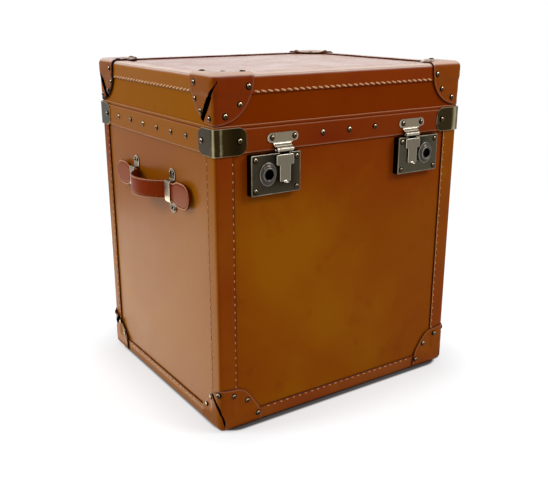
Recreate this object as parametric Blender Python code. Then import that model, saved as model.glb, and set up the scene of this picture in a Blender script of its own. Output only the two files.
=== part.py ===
"""A leather trunk with a shallow hinged lid, two hasp locks and two carrying handles.

Metres, +Z up. The floor is at zero, the locks face -Y and the lid is shut. Distances called out
are measured outwards from the outer face of the leather on the carcass.
"""

import math

import bmesh
import bpy
from mathutils import Vector

# Carcass
BODY_WIDTH = 0.456
BODY_DEPTH = 0.394
SEAM_HEIGHT = 0.423
LID_RISE = 0.107
BOARD = 0.009
LEATHER = 0.002
LINING = 0.001
CORNER_RADIUS = 0.003
PANEL_MARGIN = 0.003

# Clearances
GAP = 0.0003
OVERRUN = 0.003
WELD = 0.000001

# Stitched trim
STRIP_FRONT_LEG = 0.0305
STRIP_SIDE_LEG = 0.0255
BASE_TRIM_RISE = 0.022
BASE_TRIM_UNDER = 0.020
BASE_EDGE_RADIUS = 0.003
LID_TRIM_DROP = 0.0255
LID_TRIM_OVER = 0.022
LID_EDGE_RADIUS = 0.0035

# Moulded caps
CAP_LEATHER = 0.0025
BASE_CAP_LEG = 0.074
BASE_CAP_SIDE_LEG = 0.059
BASE_CAP_RISE = 0.072
BASE_CAP_FRONT_SHARES = ((1.0, 0.345), (0.6, 0.92))
BASE_CAP_SIDE_SHARES = ((1.0, 0.39), (0.5, 0.81))
BASE_CAP_UNDER_SHARES = ((1.0, 0.40), (0.6, 0.98))
BASE_CAP_FILLET = 0.007
BASE_CAP_EDGE_RADIUS = 0.0075
LID_CAP_LEG = 0.066
LID_CAP_RISE = 0.066
LID_CAP_FULLNESS = 2.35
BASE_FRONT_NAIL_SHARES = ((0.0, 0.88), (0.333, 0.80), (0.66, 0.604), (0.908, 0.243))
BASE_SIDE_NAIL_SHARES = ((0.49, 0.71), (0.75, 0.45))
LID_FRONT_NAIL_SHARES = ((0.85, 0.29), (0.65, 0.655), (0.30, 0.87))
LID_SIDE_NAIL_SHARES = ((0.79, 0.225), (0.80, 0.56), (0.575, 0.79), (0.213, 0.92))
LID_TOP_NAIL_SHARES = ((0.85, 0.24), (0.60, 0.60), (0.24, 0.85))

# Lid band and its brackets
BAND = 0.0037
BAND_FACE = 0.034
BAND_SHOULDER = 0.005
BAND_LIP_RADIUS = 0.001
BAND_SHOULDER_SHARES = ((0.12, 0.4), (0.42, 0.8), (0.8, 1.0), (1.0, 1.0))
BAND_NAIL_RISE = 0.018
BAND_SIDE_PITCH = 0.0484
BAND_FRONT_PITCH = 0.050
BAND_SIDE_PLACES = (-2.5, -1.5, -0.5, 0.5, 1.5, 2.5)
BAND_FRONT_PLACES = (-1, 0, 1)
BRACKET = 0.0012
BRACKET_FRONT_LEG = 0.050
BRACKET_SIDE_LEG = 0.038
BRACKET_HEIGHT = 0.038
BRACKET_DROP = 0.0015
BRACKET_FILLET = 0.013
BRACKET_FRONT_NAIL = 0.040
BRACKET_SIDE_NAIL = 0.029

# Domed nails and rivets
NAIL_RADIUS = 0.0039
NAIL_HEIGHT = 0.0022
RIVET_RADIUS = 0.003
RIVET_HEIGHT = 0.0015
DOME_SHARES = ((1.0, 0.0), (0.74, 0.62), (0.0, 1.0))
DOME_SIDES = 8

# Lock cases
HASP_X = 0.1227
CASE_SHIFT = 0.0139
CASE_WIDTH = 0.084
CASE_HEIGHT = 0.0585
CASE_DEPTH = 0.0114
CASE_DROP = 0.003
CASE_WALL = 0.0012
CASE_EDGE_RADIUS = 0.0014
CASE_RIVET_X = 0.035
CASE_RIVET_Z = 0.022
TONGUE_CLEARANCE = 0.0005

# Sliding knobs and bolts
KNOB_SHIFT = 0.0286
KNOB_DROP = 0.0316
KNOB_TRAVEL = 0.006
KNOB_BASE_RADIUS = 0.016
KNOB_RIM_RADIUS = 0.010
KNOB_HEIGHT = 0.005
KNOB_EDGE = 0.0008
KNOB_HOLE_RADIUS = 0.0072
KNOB_HOLE_DEPTH = 0.0036
KNOB_FLANK_SHARES = ((0.62, 0.30), (0.28, 0.76), (0.08, 0.97))
KNOB_SIDES = 16
NECK_RADIUS = 0.004
BOLT_LENGTH = 0.037
BOLT_HEIGHT = 0.016
BOLT_SHEET = 0.002
NOSE_LENGTH = 0.003
NOSE_HEIGHT = 0.0034
SPRING_SHEET = 0.0006
SPRING_HEIGHT = 0.026
SPRING_WIDTH = 0.004
SPRING_SHARES = (-1, -0.75, -0.5, -0.25, 0, 0.25, 0.5, 0.75, 1)

# Hasps and their hinge plates
HASP_SHEET = 0.002
HASP_KNUCKLE = 0.016
HASP_NECK_DROP = 0.006
HASP_WIDE = 0.0294
HASP_WIDE_DROP = 0.0215
HASP_NARROW = 0.018
HASP_DROP = 0.0455
HASP_FILLET = 0.002
TONGUE_WIDTH = 0.008
TONGUE_HEIGHT = 0.010
TONGUE_REACH = 0.007
LIP_WIDTH = 0.0055
LIP_REACH = 0.007
LIP_HEIGHT = 0.0048
LIP_SHARES = (
    (0.0, 1.0),
    (0.28, 1.0),
    (0.36, 0.65),
    (0.6, 0.45),
    (1.0, 0.47),
    (1.0, 0.08),
    (0.5, 0.0),
    (0.17, 0.22),
    (0.0, 0.6),
)
LATCH_SHEET = 0.0016
LATCH_BARREL_RADIUS = 0.0035
LATCH_KNUCKLE = 0.007
LATCH_AXIS_RISE = 0.001
LATCH_TOP_RISE = 0.027
LATCH_FOOT_RISE = 0.007
LATCH_FOOT_WIDTH = 0.031
LATCH_LOBE_RADIUS = 0.008
LATCH_LOBE_X = 0.0195
LATCH_WEB_CLEARANCE = 0.0025
PIN_RADIUS = 0.0014
PIN_HEAD = 0.0009
BARREL_SIDES = 12

# Back hinges
HINGE_X = 0.120
HINGE_WIDTH = 0.060
HINGE_KNUCKLE = 0.020
HINGE_BARREL_RADIUS = 0.0032
HINGE_SHEET = 0.0016
HINGE_LID_RISE = 0.030
HINGE_BODY_DROP = 0.038
HINGE_WEB_DROP = 0.007
HINGE_FILLET = 0.004
HINGE_SCREW_X = 0.020
HINGE_SCREW_EDGE = 0.008

# Handles
HANDLE_DROP = 0.073
LOOP_Y = 0.065
LOOP_WIDTH = 0.016
LOOP_SHEET = 0.0017
LOOP_TAB = 0.018
LOOP_TAB_WIDTH = 0.020
LOOP_NAIL_SPACING = 0.011
LOOP_NAIL_RISE = 0.029
LOOP_NAIL_RADIUS = 0.0025
STRAP_STANDOFF = 0.0043
STRAP_THICKNESS = 0.0044
STRAP_WIDTH = 0.030
STRAP_CHAMFER = 0.0013
STRAP_CLEARANCE = 0.0006
STRAP_TRAVEL = 0.004
STRAP_BOW = 0.027
STRAP_BOW_HALF_LENGTH = 0.050
STRAP_FULLNESS = 2.2
PADDLE_WIDTH = 0.040
PADDLE_FLARE = 0.014
STRAP_HALF_LENGTH = 0.130
STRAP_BOW_STEPS = 12
PADDLE_STEPS = 5

HALF_WIDTH = BODY_WIDTH / 2
HALF_DEPTH = BODY_DEPTH / 2
CORNERS = ((1, 1), (-1, 1), (-1, -1), (1, -1))
CORNER_NAMES = {(1, 1): "back_right", (-1, 1): "back_left", (-1, -1): "front_left", (1, -1): "front_right"}
SIDES = (("left", -1), ("right", 1))
CORNER_STEPS = 4
EDGE_STEPS = 3

# Distances out from the leather's face
BOARD_OUT = -(LEATHER + GAP)
BOARD_IN = BOARD_OUT - BOARD
LINING_OUT = BOARD_IN - GAP
LINING_IN = LINING_OUT - LINING
TRIM_OUT = GAP + LEATHER
CAP_OUT = TRIM_OUT + GAP + CAP_LEATHER
BAND_OUT = GAP + BAND
BRACKET_OUT = BAND_OUT + GAP + BRACKET
LATCH_IN = BAND_OUT + GAP
LATCH_OUT = LATCH_IN + LATCH_SHEET
CASE_OUT = GAP + CASE_DEPTH
HASP_IN = CASE_OUT + GAP
HASP_OUT = HASP_IN + HASP_SHEET
LATCH_AXIS_OUT = HASP_OUT - LATCH_BARREL_RADIUS
HINGE_AXIS_OUT = BAND_OUT + GAP + HINGE_BARREL_RADIUS
STRAP_OUT = STRAP_STANDOFF + STRAP_THICKNESS
LOOP_IN = STRAP_OUT + STRAP_CLEARANCE
LOOP_OUT = LOOP_IN + LOOP_SHEET

# Heights above the floor
TRIM_BOTTOM = CAP_LEATHER + GAP
BOARD_BOTTOM = TRIM_BOTTOM + LEATHER + GAP
TRIM_TOP = TRIM_BOTTOM + BASE_TRIM_RISE
BODY_TOP = SEAM_HEIGHT - GAP
RIM = BODY_TOP - LINING - GAP
LID_TOP = SEAM_HEIGHT + LID_RISE
LID_LEATHER_TOP = LID_TOP - LEATHER - GAP
LID_BOARD_TOP = LID_LEATHER_TOP - LEATHER - GAP
LID_FRAME_TOP = LID_BOARD_TOP - BOARD - GAP
LID_FRAME_BOTTOM = SEAM_HEIGHT + LINING + GAP
LID_CAP_TOP = LID_TOP + GAP + CAP_LEATHER
CASE_TOP = SEAM_HEIGHT - CASE_DROP
CASE_BOTTOM = CASE_TOP - CASE_HEIGHT
CASE_MIDDLE = CASE_TOP - CASE_HEIGHT / 2
KNOB_Z = SEAM_HEIGHT - KNOB_DROP
HANDLE_HEIGHT = SEAM_HEIGHT - HANDLE_DROP
LATCH_AXIS_Z = SEAM_HEIGHT + LATCH_AXIS_RISE

# Places across the right lock
CASE_X = HASP_X + CASE_SHIFT
KNOB_X = HASP_X + KNOB_SHIFT
NECK_IN = CASE_OUT - CASE_WALL - GAP
BOLT_OUT = NECK_IN - GAP
BOLT_IN = BOLT_OUT - BOLT_SHEET
NOSE_START = HASP_X + TONGUE_WIDTH / 2 + GAP
BOLT_START = NOSE_START + NOSE_LENGTH
BOLT_END = BOLT_START + BOLT_LENGTH

# The box is centred between its front and back reach
FRONT_REACH = HALF_DEPTH + HASP_IN + LIP_REACH
BACK_REACH = HALF_DEPTH + HINGE_AXIS_OUT + HINGE_BARREL_RADIUS
CENTRE_Y = (FRONT_REACH - BACK_REACH) / 2

# Colour as shares of full red, green and blue, then roughness and metallic share
TAN = ((0.46, 0.22, 0.05), 0.42, 0.0)
DEEP_TAN = ((0.40, 0.14, 0.02), 0.40, 0.0)
TRIM_TAN = ((0.48, 0.22, 0.06), 0.45, 0.0)
PALE_TAN = ((0.62, 0.36, 0.22), 0.32, 0.0)
STRAP_BROWN = ((0.42, 0.12, 0.03), 0.40, 0.0)
BOARD_WOOD = ((0.66, 0.50, 0.33), 0.70, 0.0)
CLOTH = ((0.55, 0.47, 0.36), 0.90, 0.0)
DARK_BRONZE = ((0.20, 0.16, 0.11), 0.40, 1.0)
OLD_BRASS = ((0.40, 0.33, 0.22), 0.38, 1.0)
STEEL = ((0.47, 0.43, 0.36), 0.34, 1.0)


def offset(out):
    """Half the width and half the depth of the rectangle that lies this far outside the leather."""
    return HALF_WIDTH + out, HALF_DEPTH + out


def front(out):
    return -(HALF_DEPTH + out)


def arc(centre, radius, start, end, steps):
    """Points along an arc, from one angle to another in degrees."""
    points = []
    for step in range(steps + 1):
        angle = math.radians(start + (end - start) * step / steps)
        points.append((centre[0] + radius * math.cos(angle), centre[1] + radius * math.sin(angle)))
    return points


def rounded(corners, radius):
    """A closed outline with the same fillet at each of its corners, limited by the shorter edge."""
    points = []
    for index, corner in enumerate(corners):
        here = Vector(corner)
        before = Vector(corners[index - 1]) - here
        after = Vector(corners[(index + 1) % len(corners)]) - here
        half_angle = before.angle(after) / 2
        reach = min(radius / math.tan(half_angle), before.length / 2, after.length / 2)
        fillet = reach * math.tan(half_angle)
        middle = here + (before.normalized() + after.normalized()).normalized() * fillet / math.sin(half_angle)
        first = here + before.normalized() * reach - middle
        last = here + after.normalized() * reach - middle
        for step in range(EDGE_STEPS + 1):
            points.append(middle + first.slerp(last, step / EDGE_STEPS).normalized() * fillet)
    return points


def closed(solid):
    bmesh.ops.remove_doubles(solid, verts=solid.verts, dist=WELD)
    bmesh.ops.recalc_face_normals(solid, faces=solid.faces)
    return solid


def loft(rings, wrapped=False):
    """Skins a row of rings that have as many points each, and caps its ends or wraps it round."""
    solid = bmesh.new()
    rows = [[solid.verts.new(point) for point in ring] for ring in rings]
    pairs = list(zip(rows, rows[1:]))
    if wrapped:
        pairs.append((rows[-1], rows[0]))
    for near, far in pairs:
        for index in range(len(near)):
            other = (index + 1) % len(near)
            solid.faces.new((near[index], near[other], far[other], far[index]))
    if not wrapped:
        solid.faces.new(rows[0])
        solid.faces.new(rows[-1])
    return closed(solid)


def prism(outline, axis, start, end):
    """Extrudes an outline along an axis. Its points are (y, z) for x, (x, z) for y, (x, y) for z."""
    rings = []
    for level in (start, end):
        if axis == "x":
            rings.append([(level, u, v) for u, v in outline])
        elif axis == "y":
            rings.append([(u, level, v) for u, v in outline])
        else:
            rings.append([(u, v, level) for u, v in outline])
    return loft(rings)


def block(low, high):
    outline = ((low[0], low[1]), (high[0], low[1]), (high[0], high[1]), (low[0], high[1]))
    return prism(outline, "z", low[2], high[2])


def rod(axis, centre, radius, start, end):
    return prism(arc(centre, radius, 0, 360, BARREL_SIDES)[:-1], axis, start, end)


def turned(place, facing, profile, sides):
    """Turns a profile of (radius, distance along the facing) pairs about an axis through a place."""
    across = facing.orthogonal().normalized()
    over = facing.cross(across)
    rings = []
    for radius, distance in profile:
        centre = Vector(place) + facing * distance
        circle = arc((0, 0), radius, 0, 360, sides)[:-1]
        rings.append([centre + across * u + over * v for u, v in circle])
    return loft(rings)


def dome(place, facing, radius, height):
    """A low domed head, sunk by one gap into the face that it is driven home on."""
    profile = [(radius, -GAP)] + [(radius * wide, height * high) for wide, high in DOME_SHARES]
    return turned(place, Vector(facing), profile, DOME_SIDES)


def nail(place, facing):
    return dome(place, facing, NAIL_RADIUS, NAIL_HEIGHT)


def rivet(place, facing):
    return dome(place, facing, RIVET_RADIUS, RIVET_HEIGHT)


def placed(solid, name):
    """Links a solid to the scene as a plain object and frees its working copy."""
    mesh = bpy.data.meshes.new(name)
    solid.to_mesh(mesh)
    solid.free()
    item = bpy.data.objects.new(name, mesh)
    bpy.context.scene.collection.objects.link(item)
    return item


def combined(base, tool, operation):
    """The union, difference or intersection of two solids."""
    base_item = placed(base, "base")
    tool_item = placed(tool, "tool")
    modifier = base_item.modifiers.new("combine", "BOOLEAN")
    modifier.operation = operation
    modifier.solver = "EXACT"
    modifier.object = tool_item
    evaluated = base_item.evaluated_get(bpy.context.evaluated_depsgraph_get())
    result = bmesh.new()
    result.from_mesh(evaluated.to_mesh())
    evaluated.to_mesh_clear()
    for item in (base_item, tool_item):
        mesh = item.data
        bpy.data.objects.remove(item)
        bpy.data.meshes.remove(mesh)
    bmesh.ops.dissolve_limit(
        result, angle_limit=math.radians(0.1), verts=result.verts, edges=result.edges, use_dissolve_boundaries=False
    )
    return closed(result)


def united(*solids):
    whole = solids[0]
    for solid in solids[1:]:
        whole = combined(whole, solid, "UNION")
    return whole


def cut(base, *tools):
    for tool in tools:
        base = combined(base, tool, "DIFFERENCE")
    return base


def mirrored(solid, side_x, side_y=1):
    """A copy with its coordinates mirrored, and its faces turned back outwards."""
    copy = solid.copy()
    for vert in copy.verts:
        vert.co.x *= side_x
        vert.co.y *= side_y
    if side_x * side_y < 0:
        bmesh.ops.reverse_faces(copy, faces=copy.faces)
    return copy


def group(solids):
    """Several solids as one mesh, to be joined with a solid or cut from it in one go."""
    whole = bmesh.new()
    for solid in solids:
        mesh = bpy.data.meshes.new("member")
        solid.to_mesh(mesh)
        solid.free()
        whole.from_mesh(mesh)
        bpy.data.meshes.remove(mesh)
    return whole


def finish(name, look):
    """A material of its own for each piece, from a colour, a roughness and a metallic share."""
    colour, roughness, metallic = look
    material = bpy.data.materials.new(name)
    material.use_nodes = True
    shader = material.node_tree.nodes["Principled BSDF"]
    linear = [channel**2.2 for channel in colour]
    shader.inputs["Base Color"].default_value = (*linear, 1)
    shader.inputs["Roughness"].default_value = roughness
    shader.inputs["Metallic"].default_value = metallic
    return material


def pivot(name, place, parent=None):
    """An empty on a joint's axis. Its place is given in the carcass's own coordinates."""
    empty = bpy.data.objects.new(name, None)
    bpy.context.scene.collection.objects.link(empty)
    empty["place"] = place
    if parent is None:
        empty.location = place
    else:
        empty.parent = parent
        empty.location = Vector(place) - Vector(parent["place"])
    return empty


def piece(name, solid, look, parent):
    """Finishes a solid as a named piece that hangs from its empty."""
    bmesh.ops.translate(solid, verts=solid.verts, vec=-Vector(parent["place"]))
    item = placed(solid, name)
    item.parent = parent
    item.data.shade_smooth()
    item.data.set_sharp_from_angle(angle=math.radians(30))
    item.data.materials.append(finish(name, look))
    return item


def piece_each_side(name, solid, look, parent):
    """The solid drawn on the right, and its mirror image on the left."""
    piece(name + "_left", mirrored(solid, -1), look, parent)
    piece(name + "_right", solid, look, parent)


def piece_each_corner(name, solid, look, parent):
    """The solid drawn at the right back corner, and its mirror images at the other three."""
    for corner in CORNERS:
        piece(f"{name}_{CORNER_NAMES[corner]}", mirrored(solid, *corner), look, parent)
    solid.free()


# Carcass of the body


def rectangle(out, height):
    """The trunk's plan this far outside the leather, with its corners rounded in step."""
    radius = max(CORNER_RADIUS + out, 0)
    half_x, half_y = offset(out - radius)
    points = []
    for quarter, (side_x, side_y) in enumerate(CORNERS):
        points += arc((side_x * half_x, side_y * half_y), radius, quarter * 90, quarter * 90 + 90, CORNER_STEPS)
    return [(x, y, height) for x, y in points]


def ring(profile):
    """Sweeps a closed profile of (out, height) pairs round the trunk."""
    return loft([rectangle(out, height) for out, height in profile], wrapped=True)


def slab(profile):
    """A solid whose rectangles follow a profile of (out, height) pairs, capped at both ends."""
    return loft([rectangle(out, height) for out, height in profile])


def make_body_boards(root):
    half_x, half_y = offset(BOARD_OUT)
    inner_x, inner_y = offset(BOARD_IN)
    side_y = inner_y - GAP
    floor = block((-inner_x + GAP, -side_y, BOARD_BOTTOM), (inner_x - GAP, side_y, BOARD_BOTTOM + BOARD))
    piece("base_board", floor, BOARD_WOOD, root)
    piece("front_board", block((-half_x, -half_y, BOARD_BOTTOM), (half_x, -inner_y, RIM)), BOARD_WOOD, root)
    piece("back_board", block((-half_x, inner_y, BOARD_BOTTOM), (half_x, half_y, RIM)), BOARD_WOOD, root)
    piece("left_board", block((-half_x, -side_y, BOARD_BOTTOM), (-inner_x, side_y, RIM)), BOARD_WOOD, root)
    piece("right_board", block((inner_x, -side_y, BOARD_BOTTOM), (half_x, side_y, RIM)), BOARD_WOOD, root)


def make_body_lining(root):
    """A cloth box that stands on the base board and is turned out over the rim."""
    floor = BOARD_BOTTOM + BOARD + GAP
    flange = BODY_TOP - LINING
    profile = (
        (LINING_OUT, floor),
        (LINING_OUT, flange),
        (BOARD_OUT, flange),
        (BOARD_OUT, BODY_TOP),
        (LINING_IN, BODY_TOP),
        (LINING_IN, floor + LINING),
    )
    piece("body_lining", slab(profile), CLOTH, root)


def make_body_leather(root):
    """Four panels that stop short of the upright edges, where the corner strips cover the joint."""
    inner_x, inner_y = offset(-LEATHER)
    wide = HALF_WIDTH - PANEL_MARGIN
    deep = HALF_DEPTH - PANEL_MARGIN
    right = block((inner_x, -deep, BOARD_BOTTOM), (HALF_WIDTH, deep, BODY_TOP))
    back = block((-wide, inner_y, BOARD_BOTTOM), (wide, HALF_DEPTH, BODY_TOP))
    piece("leather_left", mirrored(right, -1), TAN, root)
    piece("leather_front", mirrored(back, 1, -1), TAN, root)
    piece("leather_right", right, TAN, root)
    piece("leather_back", back, TAN, root)


def angle_outline(inner, outer, front_leg, side_leg):
    """Plan of an angle round the right back corner, between two distances out."""
    centre = offset(-CORNER_RADIUS)
    outer_x, outer_y = offset(outer)
    inner_x, inner_y = offset(inner)
    points = [(outer_x, outer_y - side_leg)]
    points += arc(centre, CORNER_RADIUS + outer, 0, 90, CORNER_STEPS)
    points += [(outer_x - front_leg, outer_y), (outer_x - front_leg, inner_y)]
    points += arc(centre, CORNER_RADIUS + inner, 90, 0, CORNER_STEPS)
    points.append((inner_x, outer_y - side_leg))
    return points


def make_corner_strips(root):
    outline = angle_outline(GAP, TRIM_OUT, STRIP_FRONT_LEG, STRIP_SIDE_LEG)
    strip = prism(outline, "z", TRIM_TOP + GAP, BODY_TOP)
    piece_each_corner("corner_strip", strip, TRIM_TAN, root)


# Bindings


def base_trim_profile(inner, grow):
    """Section of the base binding, grown all round and with its inner faces moved to a given place."""
    under = TRIM_OUT - LEATHER - BASE_TRIM_UNDER
    bottom = TRIM_BOTTOM - grow
    edge = arc((TRIM_OUT - BASE_EDGE_RADIUS, TRIM_BOTTOM + BASE_EDGE_RADIUS), BASE_EDGE_RADIUS + grow, 270, 360, 2)
    profile = [(inner, TRIM_TOP + grow), (inner, TRIM_BOTTOM + LEATHER + grow)]
    profile += [(under - grow, TRIM_BOTTOM + LEATHER + grow), (under - grow, bottom)]
    return profile + edge + [(TRIM_OUT + grow, TRIM_TOP + grow)]


def lid_trim_profile(inner, grow):
    """Section of the lid's edge binding, grown all round, with its inner side face moved to a given place."""
    over = GAP - LID_TRIM_OVER
    foot = LID_TOP - LID_TRIM_DROP - grow
    edge = arc((TRIM_OUT - LID_EDGE_RADIUS, LID_TOP - LID_EDGE_RADIUS), LID_EDGE_RADIUS + grow, 0, 90, EDGE_STEPS)
    profile = [(inner, foot), (TRIM_OUT + grow, foot)] + edge
    profile += [(over - grow, LID_TOP + grow), (over - grow, LID_TOP - LEATHER - grow)]
    return profile + [(inner, LID_TOP - LEATHER - grow)]


# Moulded caps


def base_flap(margin, leg, rise, flap_shares):
    """Outline of a base cap's flap: from its leg up to a filleted foot and shoulder, and to its crest."""
    foot, shoulder = [(leg * along, rise * away) for along, away in flap_shares]
    corners = [(-margin, -margin), (leg, -margin), foot, shoulder, (-margin, rise)]
    fillets = rounded(corners, BASE_CAP_FILLET)
    return [corners[0], corners[1], *fillets[2 * EDGE_STEPS + 2 : 4 * EDGE_STEPS + 4], corners[4]]


def base_flaps(front_margin, side_margin, under_margin):
    """The front, side and under flaps of a base cap, each with its own outline."""
    return (
        base_flap(front_margin, BASE_CAP_LEG, BASE_CAP_RISE, BASE_CAP_FRONT_SHARES),
        base_flap(side_margin, BASE_CAP_SIDE_LEG, BASE_CAP_RISE, BASE_CAP_SIDE_SHARES),
        base_flap(under_margin, BASE_CAP_LEG, BASE_CAP_SIDE_LEG, BASE_CAP_UNDER_SHARES),
    )


def lid_flap(margin):
    """Outline of a lid cap's flap, as distances from its corner: a quarter of a full oval."""
    points = [(-margin, -margin), (LID_CAP_LEG, -margin)]
    for angle in range(10, 81, 10):
        across = LID_CAP_LEG * math.cos(math.radians(angle)) ** (2 / LID_CAP_FULLNESS)
        down = LID_CAP_RISE * math.sin(math.radians(angle)) ** (2 / LID_CAP_FULLNESS)
        points.append((across, down))
    return points + [(-margin, LID_CAP_RISE)]


def lid_flaps(*margins):
    return [lid_flap(margin) for margin in margins]


def cap_blank(flaps, edge, up):
    """The three flaps of a cap as thick plates round the right back corner, meeting at height edge.

    Each plate overruns the corner by its own margin, so that no two of them end in one plane.
    """
    corner_x, corner_y = offset(CAP_OUT)
    on_back, on_side, on_level = flaps(OVERRUN, 1.5 * OVERRUN, 2 * OVERRUN)
    back_plan = [(corner_x - a, edge + up * b) for a, b in on_back]
    side_plan = [(corner_y - a, edge + up * b) for a, b in on_side]
    level_plan = [(corner_x - a, corner_y - b) for a, b in on_level]
    back = prism(back_plan, "y", HALF_DEPTH - OVERRUN, corner_y + 2.5 * OVERRUN)
    side = prism(side_plan, "x", HALF_WIDTH - OVERRUN, corner_x + 3 * OVERRUN)
    level = prism(level_plan, "z", edge - up * 2 * OVERRUN, edge + up * (CAP_OUT + OVERRUN))
    return united(back, side, level)


def base_cap():
    """A base cap: the moulded shell, hollowed by the body, the strip and the binding it covers."""
    radius = BASE_CAP_EDGE_RADIUS
    edge = arc((CAP_OUT - radius, radius), radius, 270, 360, EDGE_STEPS)
    shell = slab([*edge, (CAP_OUT, BASE_CAP_RISE + OVERRUN)])
    body = slab([(GAP, BOARD_BOTTOM - GAP), (GAP, BASE_CAP_RISE + 2 * OVERRUN)])
    strip_plan = angle_outline(-LEATHER, TRIM_OUT + GAP, STRIP_FRONT_LEG + 2 * GAP, STRIP_SIDE_LEG + 2 * GAP)
    strip = prism(strip_plan, "z", TRIM_TOP - GAP, BASE_CAP_RISE + 2 * OVERRUN)
    binding = ring(base_trim_profile(-LEATHER, GAP))
    solid = combined(shell, cap_blank(base_flaps, 0, 1), "INTERSECT")
    return cut(solid, body, strip, binding)


def lid_cap():
    """A lid cap: the moulded shell, hollowed by the lid and the binding it covers."""
    radius = LID_EDGE_RADIUS + GAP + CAP_LEATHER
    edge = arc((CAP_OUT - radius, LID_CAP_TOP - radius), radius, 0, 90, EDGE_STEPS)
    foot = LID_CAP_TOP - LID_CAP_RISE - OVERRUN
    shell = slab([(CAP_OUT, foot), *edge])
    lid = slab([(GAP, foot - OVERRUN), (GAP, LID_LEATHER_TOP + GAP)])
    binding = ring(lid_trim_profile(-LEATHER, GAP))
    solid = combined(shell, cap_blank(lid_flaps, LID_CAP_TOP, -1), "INTERSECT")
    return cut(solid, lid, binding)


def flap_nails(front_shares, side_shares, legs, rise, edge, up):
    """Nails on the upright flaps of the right back corner. One on the arris faces diagonally."""
    corner_x, corner_y = offset(CAP_OUT)
    inset = (CORNER_RADIUS + CAP_OUT) * (1 - math.sqrt(0.5))
    heads = []
    for along, away in front_shares:
        height = edge + up * rise * away
        if along == 0:
            diagonal = Vector((1, 1, 0)).normalized()
            heads.append(nail((corner_x - inset, corner_y - inset, height), diagonal))
        else:
            heads.append(nail((corner_x - legs[0] * along, corner_y, height), (0, 1, 0)))
    for along, away in side_shares:
        heads.append(nail((corner_x, corner_y - legs[1] * along, edge + up * rise * away), (1, 0, 0)))
    return heads


def make_base(root):
    binding = ring(base_trim_profile(GAP, 0))
    piece("base_binding", binding, TRIM_TAN, root)
    legs = (BASE_CAP_LEG, BASE_CAP_SIDE_LEG)
    heads = flap_nails(BASE_FRONT_NAIL_SHARES, BASE_SIDE_NAIL_SHARES, legs, BASE_CAP_RISE, 0, 1)
    piece_each_corner("base_cap", united(base_cap(), group(heads)), DEEP_TAN, root)


# Lid


def make_lid_shell(lid):
    frame = ((BOARD_OUT, LID_FRAME_BOTTOM), (BOARD_OUT, LID_FRAME_TOP))
    frame += ((BOARD_IN, LID_FRAME_TOP), (BOARD_IN, LID_FRAME_BOTTOM))
    piece("lid_frame", ring(frame), BOARD_WOOD, lid)
    top_board = slab([(BOARD_OUT, LID_FRAME_TOP + GAP), (BOARD_OUT, LID_BOARD_TOP)])
    piece("lid_top_board", top_board, BOARD_WOOD, lid)
    top_leather = slab([(BOARD_OUT, LID_BOARD_TOP + GAP), (BOARD_OUT, LID_LEATHER_TOP)])
    piece("lid_top_leather", top_leather, PALE_TAN, lid)
    side = ((0, SEAM_HEIGHT), (0, LID_LEATHER_TOP), (-LEATHER, LID_LEATHER_TOP), (-LEATHER, SEAM_HEIGHT))
    piece("lid_side_leather", ring(side), TAN, lid)
    piece("lid_binding", ring(lid_trim_profile(GAP, 0)), TRIM_TAN, lid)


def make_lid_lining(lid):
    """A cloth box hung under the lid's top board and turned out over the frame's lower edge."""
    ceiling = LID_FRAME_TOP
    flange = SEAM_HEIGHT + LINING
    profile = (
        (LINING_OUT, ceiling),
        (LINING_OUT, flange),
        (BOARD_OUT, flange),
        (BOARD_OUT, SEAM_HEIGHT),
        (LINING_IN, SEAM_HEIGHT),
        (LINING_IN, ceiling - LINING),
    )
    piece("lid_lining", slab(profile), CLOTH, lid)


def make_lid_caps(lid):
    legs = (LID_CAP_LEG, LID_CAP_LEG)
    heads = flap_nails(LID_FRONT_NAIL_SHARES, LID_SIDE_NAIL_SHARES, legs, LID_CAP_RISE, LID_CAP_TOP, -1)
    corner_x, corner_y = offset(CAP_OUT)
    for along, away in LID_TOP_NAIL_SHARES:
        place = (corner_x - LID_CAP_LEG * along, corner_y - LID_CAP_LEG * away, LID_CAP_TOP)
        heads.append(nail(place, (0, 0, 1)))
    piece_each_corner("lid_cap", united(lid_cap(), group(heads)), DEEP_TAN, lid)


def lid_band():
    """The thick leather band, with a rounded lower lip and a shoulder that slopes back to the lid."""
    face_top = SEAM_HEIGHT + BAND_FACE
    lip = arc((BAND_OUT - BAND_LIP_RADIUS, SEAM_HEIGHT + BAND_LIP_RADIUS), BAND_LIP_RADIUS, 270, 360, 2)
    shoulder = [(BAND_OUT - BAND * share, face_top + BAND_SHOULDER * rise) for share, rise in BAND_SHOULDER_SHARES]
    profile = [(GAP, SEAM_HEIGHT), *lip, (BAND_OUT, face_top), *shoulder]
    return ring(profile)


def band_nails():
    """Six nails along each side, three along the front and three along the back between the hinges."""
    half_x, half_y = offset(BAND_OUT)
    height = SEAM_HEIGHT + BAND_NAIL_RISE
    heads = []
    for place in BAND_SIDE_PLACES:
        heads.append(nail((half_x, BAND_SIDE_PITCH * place, height), (1, 0, 0)))
        heads.append(nail((-half_x, BAND_SIDE_PITCH * place, height), (-1, 0, 0)))
    for place in BAND_FRONT_PLACES:
        heads.append(nail((BAND_FRONT_PITCH * place, -half_y, height), (0, -1, 0)))
        heads.append(nail((BAND_FRONT_PITCH * place, half_y, height), (0, 1, 0)))
    return group(heads)


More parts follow.
